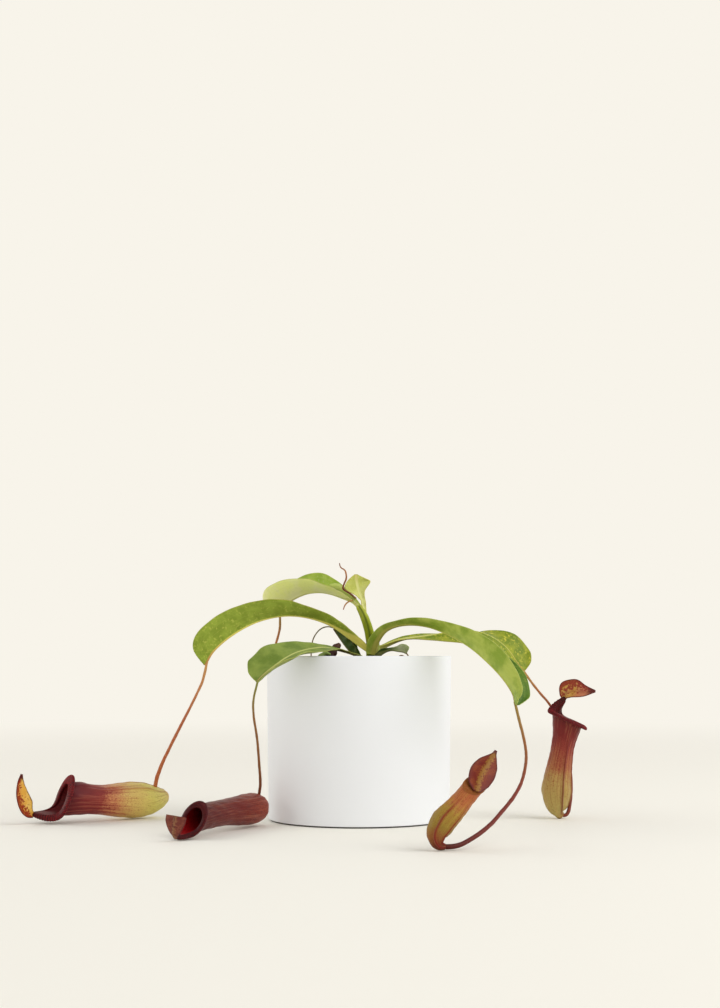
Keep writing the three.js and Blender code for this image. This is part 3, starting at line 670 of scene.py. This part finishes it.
# Each half of a blade lifts from its rib at its own angle and bulges a little, with ripples that grow
# towards the edge. Both faces stand off that middle surface by half the thickness, with rounded edges, a rib
# below and a groove above. Rows hold x, y, z of the rib, half the width, and the degrees by which the left
# and the right half lift.
def bladeShape(spec):
    form = bladeForm
    ripple = spec["ripple"]
    rows = np.array(spec["rows"], float)
    share = np.linspace(0, 1, spec["stations"])
    base, ahead = curveAhead(rows[:, :3], share)
    width, liftLeft, liftRight = smoothCurve(rows[:, 3:], share).T
    near = bell((share[:, None] - share) / form["softening"])
    isInner = np.minimum(share, 1 - share) > form["softening"] * 0.8
    half = np.maximum(np.where(isInner, near @ width / near.sum(1), width), 1)[:, None]
    left = unit(np.cross(unit(np.array(spec["level"], float)), ahead))
    raised = np.cross(ahead, left)
    part = np.array(form["across"])
    s = np.concatenate([-part[:0:-1], part])[None]
    lift = np.radians(np.where(s > 0, liftLeft[:, None], liftRight[:, None]))
    reach = np.abs(s)
    along = share[:, None]
    soft = form["foldRounding"] / half
    fold = np.sqrt(reach**2 + soft**2) - soft
    waves = np.sin(2 * pi * form["ripples"] * along + 2 * s) * np.sin(pi * along)
    bulge = half * form["cupping"] * 4 * reach * (1 - reach) + ripple * reach**2 * waves
    sideways = half * reach * np.sign(s) * np.cos(lift) + bulge * np.sign(s) * np.sin(lift)
    upward = half * fold * np.sin(lift) - bulge * np.cos(lift)
    middle = base[:, None] + sideways[..., None] * left[:, None] + upward[..., None] * raised[:, None]
    middle = middle + (0.25 * ripple * unevenness(middle, 16, 21) * reach)[..., None] * raised[:, None]
    normal = unit(np.cross(np.gradient(middle, axis=0), np.gradient(middle, axis=1)))

    edge = np.minimum(form["edgeRound"] / half, 0.5)
    intoEdge = np.clip((reach - 1 + edge) / edge, 0, 1)
    thick = form["thickness"] / 2 * np.sqrt(np.clip(1 - intoEdge**2, 0, 1))
    fromRib = reach * half
    top = middle + normal * (thick - form["groove"] * bell(fromRib / form["grooveWidth"]))[..., None]
    under = middle - normal * (thick + form["ribDepth"] * bell(fromRib / form["ribWidth"]))[..., None]

    def bothFaces(above, below):  # over the top face, then back below without the two edges
        above, below = (np.broadcast_to(value, fromRib.shape + value.shape[2:]) for value in (above, below))
        return np.concatenate([above, below[:, -2:0:-1]], 1)

    values = {"along": along, "across": s, "fromRib": fromRib, "fromEdge": half - fromRib}
    layers = {name: bothFaces(value, value) for name, value in values.items()}
    layers["face"] = bothFaces(1 + 0 * fromRib, 0 * fromRib)
    return skinRings(bothFaces(top, under), layers)


leafLook = {
    "stations": 150, "ripple": 0.6, "level": (0, 0, 1),  # what counts as up for the blade
    "patchScale": 60, "mottle": (0.38, 0.64), "spots": (0.56, 0.7),
    "veins": 30, "veinShare": 0.12, "edgeWidth": 0.5, "edgeShare": 0.85, "ribWidth": 1.5, "ribShare": 0.9,
    "ribBase": 0.32,  # less makes the rib broader near its base
}


# a leaf's skin: mottled faces, spots and veins over them, a rib that changes colour towards the tip, a
# thin edge line, and on a leaf whose lower part lies in shade, painted shade over that part
def leafSkin(name, look):
    f = Finish(name)
    along = f.layer("along")
    patches = f.noise(look["patchScale"])
    colour = f.faces(f.step(patches, *look["mottle"]), look)
    # painted shade over the part of the blade nearest the stem, which lies in shade
    if "inner" in look:
        colour = f.mix(f.step(along, *look["innerEnds"]), colour, look["inner"])
    colour = f.over(colour, f.step(f.noise(420, 2), *look["spots"]), look["spot"])
    veins = f.maths("SINE", f.layer("across") * look["veins"])
    colour = f.mix(f.step(veins, 0.8, 1) * look["veinShare"], colour, look["spot"][0])
    narrowed = look["ribBase"] + f.step(along, 0.15, 0.5) * (1 - look["ribBase"])
    nearRib = 1 - f.step(f.layer("fromRib") * narrowed, look["ribWidth"] * 0.55, look["ribWidth"])
    colour = f.mix(nearRib * look["ribShare"], colour, f.mix(f.step(along, 0.6, 0.95), *look["rib"]))
    nearEdge = 1 - f.step(f.layer("fromEdge"), look["edgeWidth"] * 0.4, look["edgeWidth"])
    colour = f.mix(nearEdge * look["edgeShare"], colour, look["edge"])
    relief = veins * 0.35 + f.noise(900, 2) * 0.7
    return f.skin(colour, 0.4 + patches * 0.16, relief, 0.0002, 0.35, specular=0.2)


# two colours are mottled or run into each other, and a number after a colour says how strongly it covers
leaves = dict(
    leaf_left_large=dict(
        rows=[
            (9, -1, 150, 4, 60, 60), (2.2, -1, 154.6, 6.5, 60, 60), (-8.1, -1, 162.4, 7.5, 60, 60),
            (-26, 0, 174.5, 10, 55, 50), (-48.5, 2, 181.8, 15, 47, 40), (-69.2, 4, 182.8, 18.5, 52, 40),
            (-93.6, 6, 176.9, 21, 64, 40), (-116.3, 8, 164.3, 23, 74, 45), (-131.7, 9, 150.8, 22, 80, 50),
            (-137, 10, 142.5, 14.5, 80, 50), (-139.5, 10, 138.2, 1.5, 75, 50),
        ],
        slot="leaf_green", top=("789424", "8ea834"), under=("849830", "96aa3c"), spot=("bac254", 0.75),
        # the rib's pale first colour is painted light on its down-facing keel, which lies in shade
        rib=("f2e876", "be7c4c"), edge="a8a046", patchScale=130, ribBase=0.15,
    ),
    leaf_left_small=dict(
        rows=[
            (8, -2, 143.5, 3, 20, 40), (-3.6, -14, 147.5, 3, 10, 40), (-12.3, -27, 150.4, 4, 0, 30),
            (-31.1, -51, 153.8, 12, -12, 22), (-51.9, -74, 149.7, 18, 0, 30),
            (-61.4, -83, 144.8, 21, 10, 40), (-69.4, -89, 139.1, 22.5, 12, 42),
            (-78.9, -94, 131.5, 21.5, 14, 42), (-83.4, -96, 127, 14, 12, 42),
            (-85.3, -97, 124.6, 1.5, 10, 42),
        ],
        slot="leaf_blue_green", top=("6a7f30", "859642"), under=("6f7d2e", "87923e"), spot=("8c9c50", 0.25),
        rib=("c4c878", "aa9654"), edge="a0a854",
    ),
    leaf_right_front=dict(
        rows=[
            (13.6, -4.6, 147.5, 7.5, 30, 20), (14.8, -6.8, 153.5, 8.5, 35, 30),
            (17.2, -9.8, 159.5, 9, 50, 50), (24, -17, 168.6, 7, 58, 60), (37, -28, 173.6, 6.5, 45, 52),
            (60, -46, 172.2, 10, 32, 50), (91, -74, 156.9, 19.5, 20, 60), (110.6, -90, 139.6, 23, 20, 66),
            (123, -99, 124.9, 22.5, 24, 64), (129, -103.5, 114.2, 18.5, 20, 60),
            (130.2, -104.4, 108.9, 13, 28, 50), (131, -105, 105.3, 4, 38, 45),
        ],
        slot="leaf_green", top=("486b14", "5e7e1e"), under=("859d33", "adbb53"), spot=("a8b250", 0.25),
        rib=("b8b658", "aa6e40"), edge="b0ba60",
    ),
    leaf_right_back=dict(
        rows=[
            (11, 2, 148.5, 3.5, 60, 60), (20, 6, 153, 4, 55, 50), (39, 12, 161.3, 6, 30, -5),
            (65, 17, 165.6, 11, 5, -30), (84, 20, 168.6, 17, -6, -42), (106, 23, 169.2, 20, -6, -48),
            (121, 25, 164, 22, 20, -40), (135, 27.5, 153.6, 23.5, 50, -35),
            (145, 29.2, 139.8, 20.5, 66, -28), (149.3, 29.8, 134.3, 13.5, 70, -15),
            (151, 30, 131.8, 1.5, 72, 0),
        ],
        slot="leaf_green", top=("6e821a", "949c2a"), under=("7a8a24", "98a136"), spot=("ccc446", 0.85),
        rib=("cccc6e", "b08246"), edge="aaa046", patchScale=110,
    ),
    leaf_top=dict(
        rows=[
            (2.5, 0, 186, 3.5, 55, 55), (-5, 3, 194.5, 5, 50, 60), (-13.5, 7, 198.5, 9, 45, 68),
            (-27.5, 15, 203.5, 15, 35, 74), (-37.5, 21, 204.8, 19, 36, 74), (-49, 28, 203.5, 19.5, 47, 70),
            (-62.8, 36.4, 197.3, 22.5, 59, 60), (-72.4, 42, 189, 23, 70, 54),
            (-75, 44.6, 182.5, 1.5, 66, 50),
        ],
        # the under face's very pale colours are painted light: the glow of light shining through the blade
        slot="leaf_pale", top=("9ab43b", "b4c855"), under=("eff399", "f3f3b6"), spot=("d6dc96", 0.3),
        rib=("d6d684", "b4965a"), edge="b0b45c",
    ),
    leaf_youngest=dict(
        rows=[
            (5.8, -1, 185, 0.7, 30, 30), (4.5, -0.9, 191, 2.1, 30, 30), (3.3, -1.5, 197, 2.4, 25, 25),
            (0.6, -3.5, 203, 5.4, 15, 15), (-1.6, -5.5, 210.5, 12.4, 8, 8), (-2.4, -6.5, 215.5, 7, 5, 5),
            (-2.7, -7, 219.2, 1.2, 0, 0),
        ],
        level=(0.1, -1, 0.3), slot="leaf_young", top=("bec55c", "cfd27b"), under=("b4bd5a", "c6ca73"),
        spot=("e0e496", 0.4), rib=("e2e496", "d2c878"), edge="cec464",
    ),
    leaf_crown_left=dict(
        rows=[
            (2.3, 2, 142.9, 3, 40, 40), (-4.5, 5.5, 147.8, 7, 65, 45), (-10.8, 9, 154.5, 9.5, 75, 50),
            (-16.2, 13, 162, 7.5, 72, 55), (-22.4, 15, 171.1, 1.2, 65, 60),
        ],
        slot="leaf_dark", top=("34501e", "466224"), under=("3e5824", "526a2c"), spot=("6e7c3c", 0.4),
        rib=("787638", "68522c"), edge="605a2c",
    ),
    leaf_crown_right=dict(
        rows=[
            (13.8, -4.8, 142.7, 2.5, 50, 50), (18, -7.6, 146.6, 4.3, 55, 68), (23, -9, 150.2, 5, 65, 72),
            (29, -10.6, 152, 2.6, 60, 68), (35, -12, 151.2, 6, 60, 70), (39, -13, 150.6, 8, 60, 70),
            (41, -13.4, 149.9, 7.5, 60, 70), (42, -13.6, 149.1, 1.5, 60, 70),
        ],
        # both faces' colours are raised well above the leaf's own green: painted light for the sheen on its
        # pale blade
        slot="leaf_blue_green", top=("8ca268", "b6c494"), under=("a6b87e", "ccd6b0"), spot=("a0ac78", 0.4),
        # the dark colour on the next line is painted shade over the blade's lower part, near the stem
        rib=("a0a064", "8c7846"), edge="969654", inner="304a14", ribShare=0.4, edgeShare=0.5,
        innerEnds=(0.52, 0.4),
    ),
)
for name, spec in leaves.items():
    spec = {**leafLook, **spec}
    addPiece(name + "_blade", bladeShape(spec), leafSkin(name, spec), name)
print("leaves made")

lidLook = {
    "stations": 90, "ripple": 0,
    "patchScale": 130, "mottle": (0.38, 0.62), "crowdSide": 0, "crowdAlong": 0, "spotFade": 0.08,
    "wander": 7,  # millimetres by which the rib streak and the edge wander
    "edgeFrom": 0.2, "edgeShare": 0.85,
}


# a lid's skin: speckles that crowd towards a side or an end, a soft streak along the rib, a dark edge and tip
def lidSkin(name, look):
    f = Finish(name)
    along = f.layer("along")
    patches = f.noise(look["patchScale"])
    fine = f.noise(look["spotScale"], 3, 0.6)
    colour = f.faces(f.step(patches, *look["mottle"]), look)
    if "end" in look:
        colour = f.over(colour, f.step(along, 0.6, 0.76), look["end"])
    wander = (fine - 0.5) * look["wander"]
    nearRib = 1 - f.step(f.layer("fromRib") + wander, look["ribWidth"] * 0.2, look["ribWidth"])
    colour = f.over(colour, nearRib, look["rib"])
    crowd = f.layer("across") * look["crowdSide"] + along * look["crowdAlong"]
    spots = f.step(fine + crowd + patches * 0.3, look["spotFrom"], look["spotFrom"] + look["spotFade"])
    colour = f.over(colour, spots, look["spot"])
    nearEdge = 1 - f.step(f.layer("fromEdge") + wander * 0.3, look["edgeFrom"], look["edgeWidth"])
    colour = f.mix(nearEdge * look["edgeShare"], colour, look["edge"])
    colour = f.mix(f.step(along, look["tipFrom"], look["tipTo"]), colour, look["edge"])
    return f.skin(colour, 0.34 + patches * 0.2, fine + patches * 0.8, 0.0004, 0.45, specular=0.2)


lids = dict(
    lid_far_left=dict(
        rows=[
            (-283.7, -41.4, 7, 2, 20, 20), (-287.4, -46.4, 11, 6, 25, 25),
            (-290.4, -49.6, 16.5, 8.8, 30, 30), (-292.8, -51.5, 24.5, 8.2, 32, 32),
            (-293.3, -52, 32.6, 5.8, 30, 30), (-292.6, -52, 38.8, 3.2, 20, 20), (-291.2, -52, 44, 0.8, 0, 0),
        ],
        level=(0.75, -0.65, 0.1), slot="lid_speckled", top=("e2ac46", "eec868"), under=("9c542c", "b67038"),
        rib=("c46e34", 0.4), ribWidth=1.6, spotScale=470, spot=("921e18", 0.95), spotFrom=0.6, crowdSide=0.2,
        edge="541a18", edgeWidth=1.1, tipFrom=0.78, tipTo=0.92,
    ),
    lid_left_front=dict(
        rows=[
            (-144.9, -170.7, 2.4, 1.6, 20, 20), (-145.6, -175.5, 5.2, 3.6, 15, 15),
            (-145.4, -177.6, 10, 6.5, 10, 10), (-144.6, -178, 16, 8.8, 5, 5),
            (-143.8, -177.4, 20.4, 9, 5, 5),
        ],
        level=(0.35, 0.93, 0.1), slot="lid_brown", top=("762a24", "8a4a30"), under=("642822", "7e4232"),
        rib=("96764e", 0.45), ribWidth=2, spotScale=700, spot=("4e1818", 0.7), spotFrom=0.7, edge="56201e",
        edgeWidth=1.4, tipFrom=1.2, tipTo=1.4,
    ),
    lid_centre_young=dict(
        rows=[
            (105, -213, 74, 0.9, 0, 0), (102.6, -216, 70, 3.5, -12, -12), (98.9, -220.5, 65, 8.5, -14, -14),
            (94.3, -226.5, 58.6, 10.4, -14, -14), (90.6, -232, 51, 8.6, -14, -14),
            (88.8, -236.2, 44.9, 3, -12, -12),
        ],
        level=(0.25, -0.79, 0.55), slot="lid_brown", top=("6f2315", "823a1a"), under=("783822", "8c4c2c"),
        rib=("a48232", 0.5), ribWidth=3.4, spotScale=800, spot=("681e18", 0.7), spotFrom=0.68, edge="561c18",
        edgeWidth=2, tipFrom=0.16, tipTo=0.04,
    ),
    lid_right=dict(
        rows=[
            (185, 10.6, 107.9, 2, 20, 20), (185.4, 10.2, 110.6, 5, 25, 25), (187.6, 8.5, 113.4, 11, 28, 28),
            (193, 6, 114.2, 11.8, 28, 28), (201, 0.5, 113.8, 8, 24, 24), (210.9, -5, 115, 1.2, 10, 10),
        ],
        level=(-0.2, -0.78, 0.6), slot="lid_speckled", top=("ba8c3e", "c69854"), under=("b0705c", "c4886c"),
        rib=("964e32", 0.5), ribWidth=1.2, spotScale=430, spot=("8a241e", 0.9), spotFrom=0.63,
        crowdSide=0.24, end=("b86854", 0.75), crowdAlong=-0.06, edge="5c221c", edgeWidth=1.3, tipFrom=0.82,
        tipTo=0.96,
    ),
)
for name, spec in lids.items():
    spec = {**lidLook, **spec}
    addPiece(name + "_blade", bladeShape(spec), lidSkin(name, spec), name)
print("lids made")

# pitchers

pitcherForm = {
    "around": 360, "bodyRings": 96, "lipRings": 30, "closedRings": 26, "innerRings": 50, "pathSteps": 400,
    "outerRound": 0.025, "innerRound": 0.06, "innerEnd": 0.24, "leanFrom": 0.55, "neckFrom": 0.8,  # by length
    "wall": 1.2, "ribHeight": 0.28, "lump": 0.18, "lumpLength": 9, "ridgeTurn": 30,
    "ridges": ((0.75, 0.8), (0.25, 2.2)),  # height share and width of a crest and of a swelling under it
}


# the lip's section as radius and distance past the mouth: a roll out and back in, or for a closed pitcher a
# small roll and a flat across
def lipSection(mouth, lip, isOpen):
    if isOpen:
        section = [
            (mouth, 0), (mouth + 0.5 * lip, -0.6), (mouth + lip, -0.5), (mouth + 1.12 * lip, 0.5),
            (mouth + 1.05 * lip, 1.6), (mouth + 0.6 * lip, 2.6), (mouth, 2.9), (mouth - 1.4, 2.6),
            (mouth - 2.3, 1.6), (mouth - 1.9, 0.4), (mouth - pitcherForm["wall"], -0.6),
        ]
        return smoothCurve(section, np.linspace(0, 1, pitcherForm["lipRings"]))[1:]
    section = [
        (mouth, 0), (mouth + lip, -0.3), (mouth + 1.1 * lip, 1.1), (mouth + 0.5 * lip, 2.4), (mouth - 1, 2.6),
        (mouth * 0.5, 2.6), (0.3, 2.6),
    ]
    return smoothCurve(section, np.linspace(0, 1, pitcherForm["closedRings"]))[1:]


# the wall's section from the tip outside to the end of the hollow: each ring's share of the length, radius,
# distance past the mouth, and zone, which is outside (0), lip (1) or inside (2)
def wallSection(spec):
    form = pitcherForm
    rowRadius = np.array(spec["rows"], float)[:, 3]
    table = np.stack([rowRadius, np.arange(len(rowRadius))], -1)
    radiusAt = lambda share: np.maximum(smoothCurve(table, share)[:, 0], 0.5)
    outside = np.concatenate([[0, 0.004, 0.012, 0.025], np.linspace(0.04, 1, form["bodyRings"])])
    inside = np.linspace(0.985, form["innerEnd"], form["innerRings"] if spec["open"] else 0)
    lip = lipSection(rowRadius[-1], spec["lipSize"], spec["open"])
    outerEnd = np.sqrt(np.clip(1 - (1 - np.clip(outside / form["outerRound"], 0, 1)) ** 2, 0.02, 1))
    innerEnd = np.sqrt(np.clip((inside - form["innerEnd"] + 0.001) / form["innerRound"], 0, 1))
    share = np.concatenate([outside, np.ones(len(lip)), inside])
    innerRadius = (radiusAt(inside) - form["wall"]) * innerEnd
    radius = np.concatenate([radiusAt(outside) * outerEnd, lip[:, 0], innerRadius])
    past = np.concatenate([0 * outside, lip[:, 1], 0 * inside])
    zone = np.concatenate([0 * outside, np.ones(len(lip)), 2 + 0 * inside])
    return [value[:, None] for value in (share, radius, past, zone)]


# places on the middle line and the directions onwards, to the front and to the side there; the front is
# given at the mouth and carried back to the tip
def pitcherPath(spec, share):
    steps = np.linspace(0, 1, pitcherForm["pathSteps"])
    at, ahead = curveAhead(np.array(spec["rows"], float)[:, :3], steps)
    front = carriedSide(ahead[::-1], np.array(spec["front"], float))[::-1]
    pick = lambda v: np.stack([np.interp(share[:, 0], steps, v[:, i]) for i in range(3)], -1)
    at, ahead, front = pick(at), unit(pick(ahead)), unit(pick(front))
    return at[:, None], ahead[:, None], front[:, None], np.cross(ahead, front)[:, None]


# A pitcher is its wall carried along a bent middle line. Its mouth leans by slant to the front and skew to
# the side, its ribbed lip runs up into a neck at the back, and two narrow ridges stand on its front.
def pitcherShape(spec):
    form = pitcherForm
    u, r, past, zone = wallSection(spec)
    at, ahead, front, side = pitcherPath(spec, u)
    turn = turns(form["around"])[None]
    mouth = spec["rows"][-1][3]
    onLip = zone == 1
    onBody = zone == 0

    neck = smoothStep(form["neckFrom"], 1, u) * np.maximum(0, -np.cos(turn)) ** spec["neckWidth"]
    slimmed = np.where(onLip, mouth + (r - mouth) * (1 - spec["neckSlim"] * neck), r)
    apart = lambda angle: np.abs(np.angle(np.exp(1j * (turn - radians(spec["ridgeShift"] + angle)))))
    away = np.minimum(apart(form["ridgeTurn"]), apart(-form["ridgeTurn"])) * r
    ridge = sum(part * bell(away / width) for part, width in form["ridges"])
    ridge = ridge * np.sin(pi * np.clip(u + 0.05, 0, 1) ** 0.8) * onBody
    reach = slimmed + spec["ridgeHeight"] * ridge

    lean = (spec["slant"] * np.cos(turn) + spec["skew"] * np.sin(turn)) * smoothStep(form["leanFrom"], 1, u)
    forward = reach * np.cos(turn) + spec["neckLean"] * neck**2
    sideways = reach * np.sin(turn)
    onward = past + spec["neck"] * neck - reach * lean
    rings = at + forward[..., None] * front + sideways[..., None] * side + onward[..., None] * ahead

    normal = unit(np.cross(np.roll(rings, -1, 1) - np.roll(rings, 1, 1), np.gradient(rings, axis=0)))
    ribWave = np.cos(spec["ribs"] * turn)
    ribs = ribWave * np.sin(pi * np.clip(np.cumsum(onLip)[:, None] / onLip.sum(), 0, 1)) * onLip
    lumps = form["lump"] * unevenness(rings, form["lumpLength"], 31) * onBody * smoothStep(0, 0.1, u)
    rings = rings + (form["ribHeight"] * ribs + lumps)[..., None] * normal
    return skinRings(rings, {
        "along": u, "lip": onLip, "inside": zone == 2, "depth": (1 - u) * (zone == 2), "rib": ribWave,
        "ridge": np.clip(ridge * 1.4, 0, 1), "neck": neck * (u > 0.985), "turnX": np.cos(turn),
        "turnY": np.sin(turn),
    })


pitcherLook = {
    "open": True, "skew": 0, "neckLean": 0, "neckSlim": 0, "neckPaint": ("3c1414", 0), "ribs": 90,
    "ridgeShift": 0, "fullShadeDepth": 0.4, "fray": 0.3,
}


# a pitcher's skin: colours along it with a frayed border, lengthwise streaks, ridges of their own colour, a
# ribbed lip whose stripes are partly painted shade and light on its ribs, a dark neck and a spotted inside
# with painted shade that deepens with depth
def pitcherSkin(name, look):
    f = Finish(name)
    along = f.layer("along")
    lengthwise = {0: f.layer("turnX"), 1: f.layer("turnY"), 2: along * 0.3}
    streaks = f.noise(look["streakScale"], 4, 0.6, f.make("CombineXYZ", lengthwise))
    patches = f.noise(60)
    fine = f.noise(950, 3, 0.62)
    frayed = along
    for grain, share in ((fine, 0.8), (patches, 0.5), (streaks, 0.7)):
        frayed = frayed + (grain - 0.5) * (look["fray"] * share)
    colour = f.ramp(frayed, look["colours"])
    colour = f.over(colour, f.step(streaks, 0.52, 0.66), look["streak"])
    colour = f.over(colour, f.step(fine, 0.55, 0.64), look["speckle"])
    colour = f.over(colour, f.step(streaks, 0.48, 0.36), look["pale"])
    colour = f.over(colour, f.layer("ridge"), look["ridge"])
    inside, spot, deepShade = look["inside"]
    hollow = f.mix(f.step(fine, 0.47, 0.6) * 0.7, inside, spot)
    # painted shade: the hollow darkens the deeper it goes
    hollow = f.mix(f.step(f.layer("depth"), 0, look["fullShadeDepth"]), hollow, deepShade)
    colour = f.mix(f.layer("inside"), colour, hollow)
    # the lip's stripes follow its ribs: partly its own striped colour, partly painted shade in the grooves
    # and painted light on the crests
    ribs = f.step(f.layer("rib"), -0.9, 0.9) * f.step(fine, 0.35, 0.6)
    colour = f.mix(f.layer("lip"), colour, f.mix(ribs, *look["lip"]))
    colour = f.over(colour, f.layer("neck"), look["neckPaint"])
    return f.skin(colour, 0.3 + streaks * 0.2, fine * look["grain"] + streaks, 0.0005, 0.4, specular=0.14)


# rows hold x, y, z of the middle line and the radius there, from the tip to the mouth
# inside holds the hollow's colour, its spots, and the painted shade it takes deep down
pitchers = dict(
    pitcher_far_left=dict(
        rows=[
            (-172.6, 15.5, 21, 1.5), (-175, 15, 20, 5.4), (-180, 14.4, 18.2, 9.4), (-187, 12.6, 16.8, 12.8),
            (-195, 9, 16.5, 15), (-203, 3.5, 16.6, 15.8), (-214, -6, 17.4, 14.8), (-229, -19, 18.8, 12.8),
            (-240, -27.5, 20.2, 13.5), (-249.5, -32.4, 20.9, 15), (-258, -35.2, 20.8, 15.6),
        ],
        front=(0.1, -0.2, 0.97), slant=0.38, skew=-0.03, lipSize=5, neck=19, neckWidth=5, neckLean=4,
        neckSlim=0.62, slot="pitcher_red", ridgeHeight=1.3, grain=0.5,
        colours=[
            (0, "d2a668"), (0.12, "dacc7e"), (0.3, "d4ca6a"), (0.55, "d2b668"), (0.66, "bc7650"),
            (0.735, "842e2a"), (0.86, "6c2224"), (1, "54141c"),
        ],
        streakScale=7, streak=("782c26", 0.3), speckle=("782c28", 0.35), pale=("be785c", 0.2),
        ridge=("964836", 0.5), neckPaint=("421216", 0.7), lip=("380c12", "962022"),
        inside=("6e1e1e", "3c0e14", "320a0e"),
    ),
    pitcher_left_front=dict(
        rows=[
            (-84.6, -44.5, 17.5, 1.5), (-85.4, -46, 17.2, 6), (-87, -49, 16.6, 10), (-89.5, -55, 15.6, 12.6),
            (-94, -65.5, 15.2, 13.3), (-102, -84, 15.6, 12.2), (-112, -105, 16.2, 10.8),
            (-119, -120, 16.1, 10.6), (-126, -135, 15.6, 10.7), (-132.5, -150, 14.8, 11),
        ],
        front=(0.25, 0, 1), slant=0.8, skew=0.45, lipSize=2.2, neck=12, neckWidth=6, neckSlim=0.3,
        slot="pitcher_dark", grain=1.4, ridgeHeight=0.5,
        colours=[(0, "a6542c"), (0.3, "923a24"), (0.6, "681e18"), (1, "501212")], streakScale=16,
        # its pale streaks stand for whitish fuzz and, laid on this thickly, for painted highlights too
        streak=("401414", 0.5), speckle=("3c1212", 0.85), pale=("a4644c", 0.45), ridge=("7e3428", 0.4),
        fullShadeDepth=0.7, neckPaint=("3c1414", 0.3), lip=("340c10", "6e181a"),
        inside=("960e12", "46060a", "40080a"),
    ),
    pitcher_centre_young=dict(
        rows=[
            (65.6, -237, 2.9, 2), (60.6, -237, 4.2, 4), (58.3, -236.6, 11, 7.4), (63.4, -234.6, 21.5, 9.8),
            (71, -232, 29.5, 9.2), (79, -229, 38.5, 8), (87, -226.5, 47.5, 7.8),
        ],
        front=(-0.3, -1, 0.2), slant=1, lipSize=0.3, neck=12, neckWidth=2, open=False, ribs=60,
        slot="pitcher_olive", fray=0.26, grain=0.4, ridgeHeight=1.3, ridgeShift=32,
        colours=[
            (0, "46100e"), (0.2, "622216"), (0.34, "8a582a"), (0.44, "8e762e"), (0.64, "9e7c32"),
            (0.82, "ac683a"), (1, "a65a36"),
        ],
        streakScale=8, streak=("864624", 0.3), speckle=("78321e", 0.6), pale=("b49c42", 0.25),
        ridge=("7a1e18", 0.8), fullShadeDepth=0.5, lip=("925028", "9e6c36"), inside=("96542e", "78281e", "601616"),
    ),
    pitcher_right=dict(
        rows=[
            (183.6, 3, 2.4, 1.8), (180.4, 3.5, 4.2, 4.4), (178.2, 4, 11, 9.6), (177.3, 4.5, 27, 13),
            (179.4, 5, 44, 11), (182.6, 5.5, 63, 9.8), (185, 6, 75, 11), (186.6, 6, 84, 13),
            (187.3, 6, 88, 14),
        ],
        front=(0.77, -0.64, 0), slant=0.22, skew=0.15, lipSize=4.2, neck=15, neckWidth=14, neckLean=8,
        neckSlim=0.6, slot="pitcher_red", ridgeHeight=1.4, grain=0.6,
        colours=[
            (0, "987c48"), (0.12, "aea05c"), (0.4, "aa8e50"), (0.52, "9e5e3c"), (0.62, "8a3a2e"),
            (0.72, "762624"), (1, "5e161a"),
        ],
        streakScale=8, streak=("742c22", 0.55), speckle=("6c241e", 0.45), pale=("b47854", 0.3),
        ridge=("6c1c1a", 0.75), neckPaint=("3a1614", 0.8), lip=("4c1014", "801c1e"),
        inside=("641a1a", "360c10", "2e080c"),
    ),
)
for name, spec in pitchers.items():
    spec = {**pitcherLook, **spec}
    addPiece(name + "_cup", pitcherShape(spec), pitcherSkin(name, spec), name)
print("pitchers made")
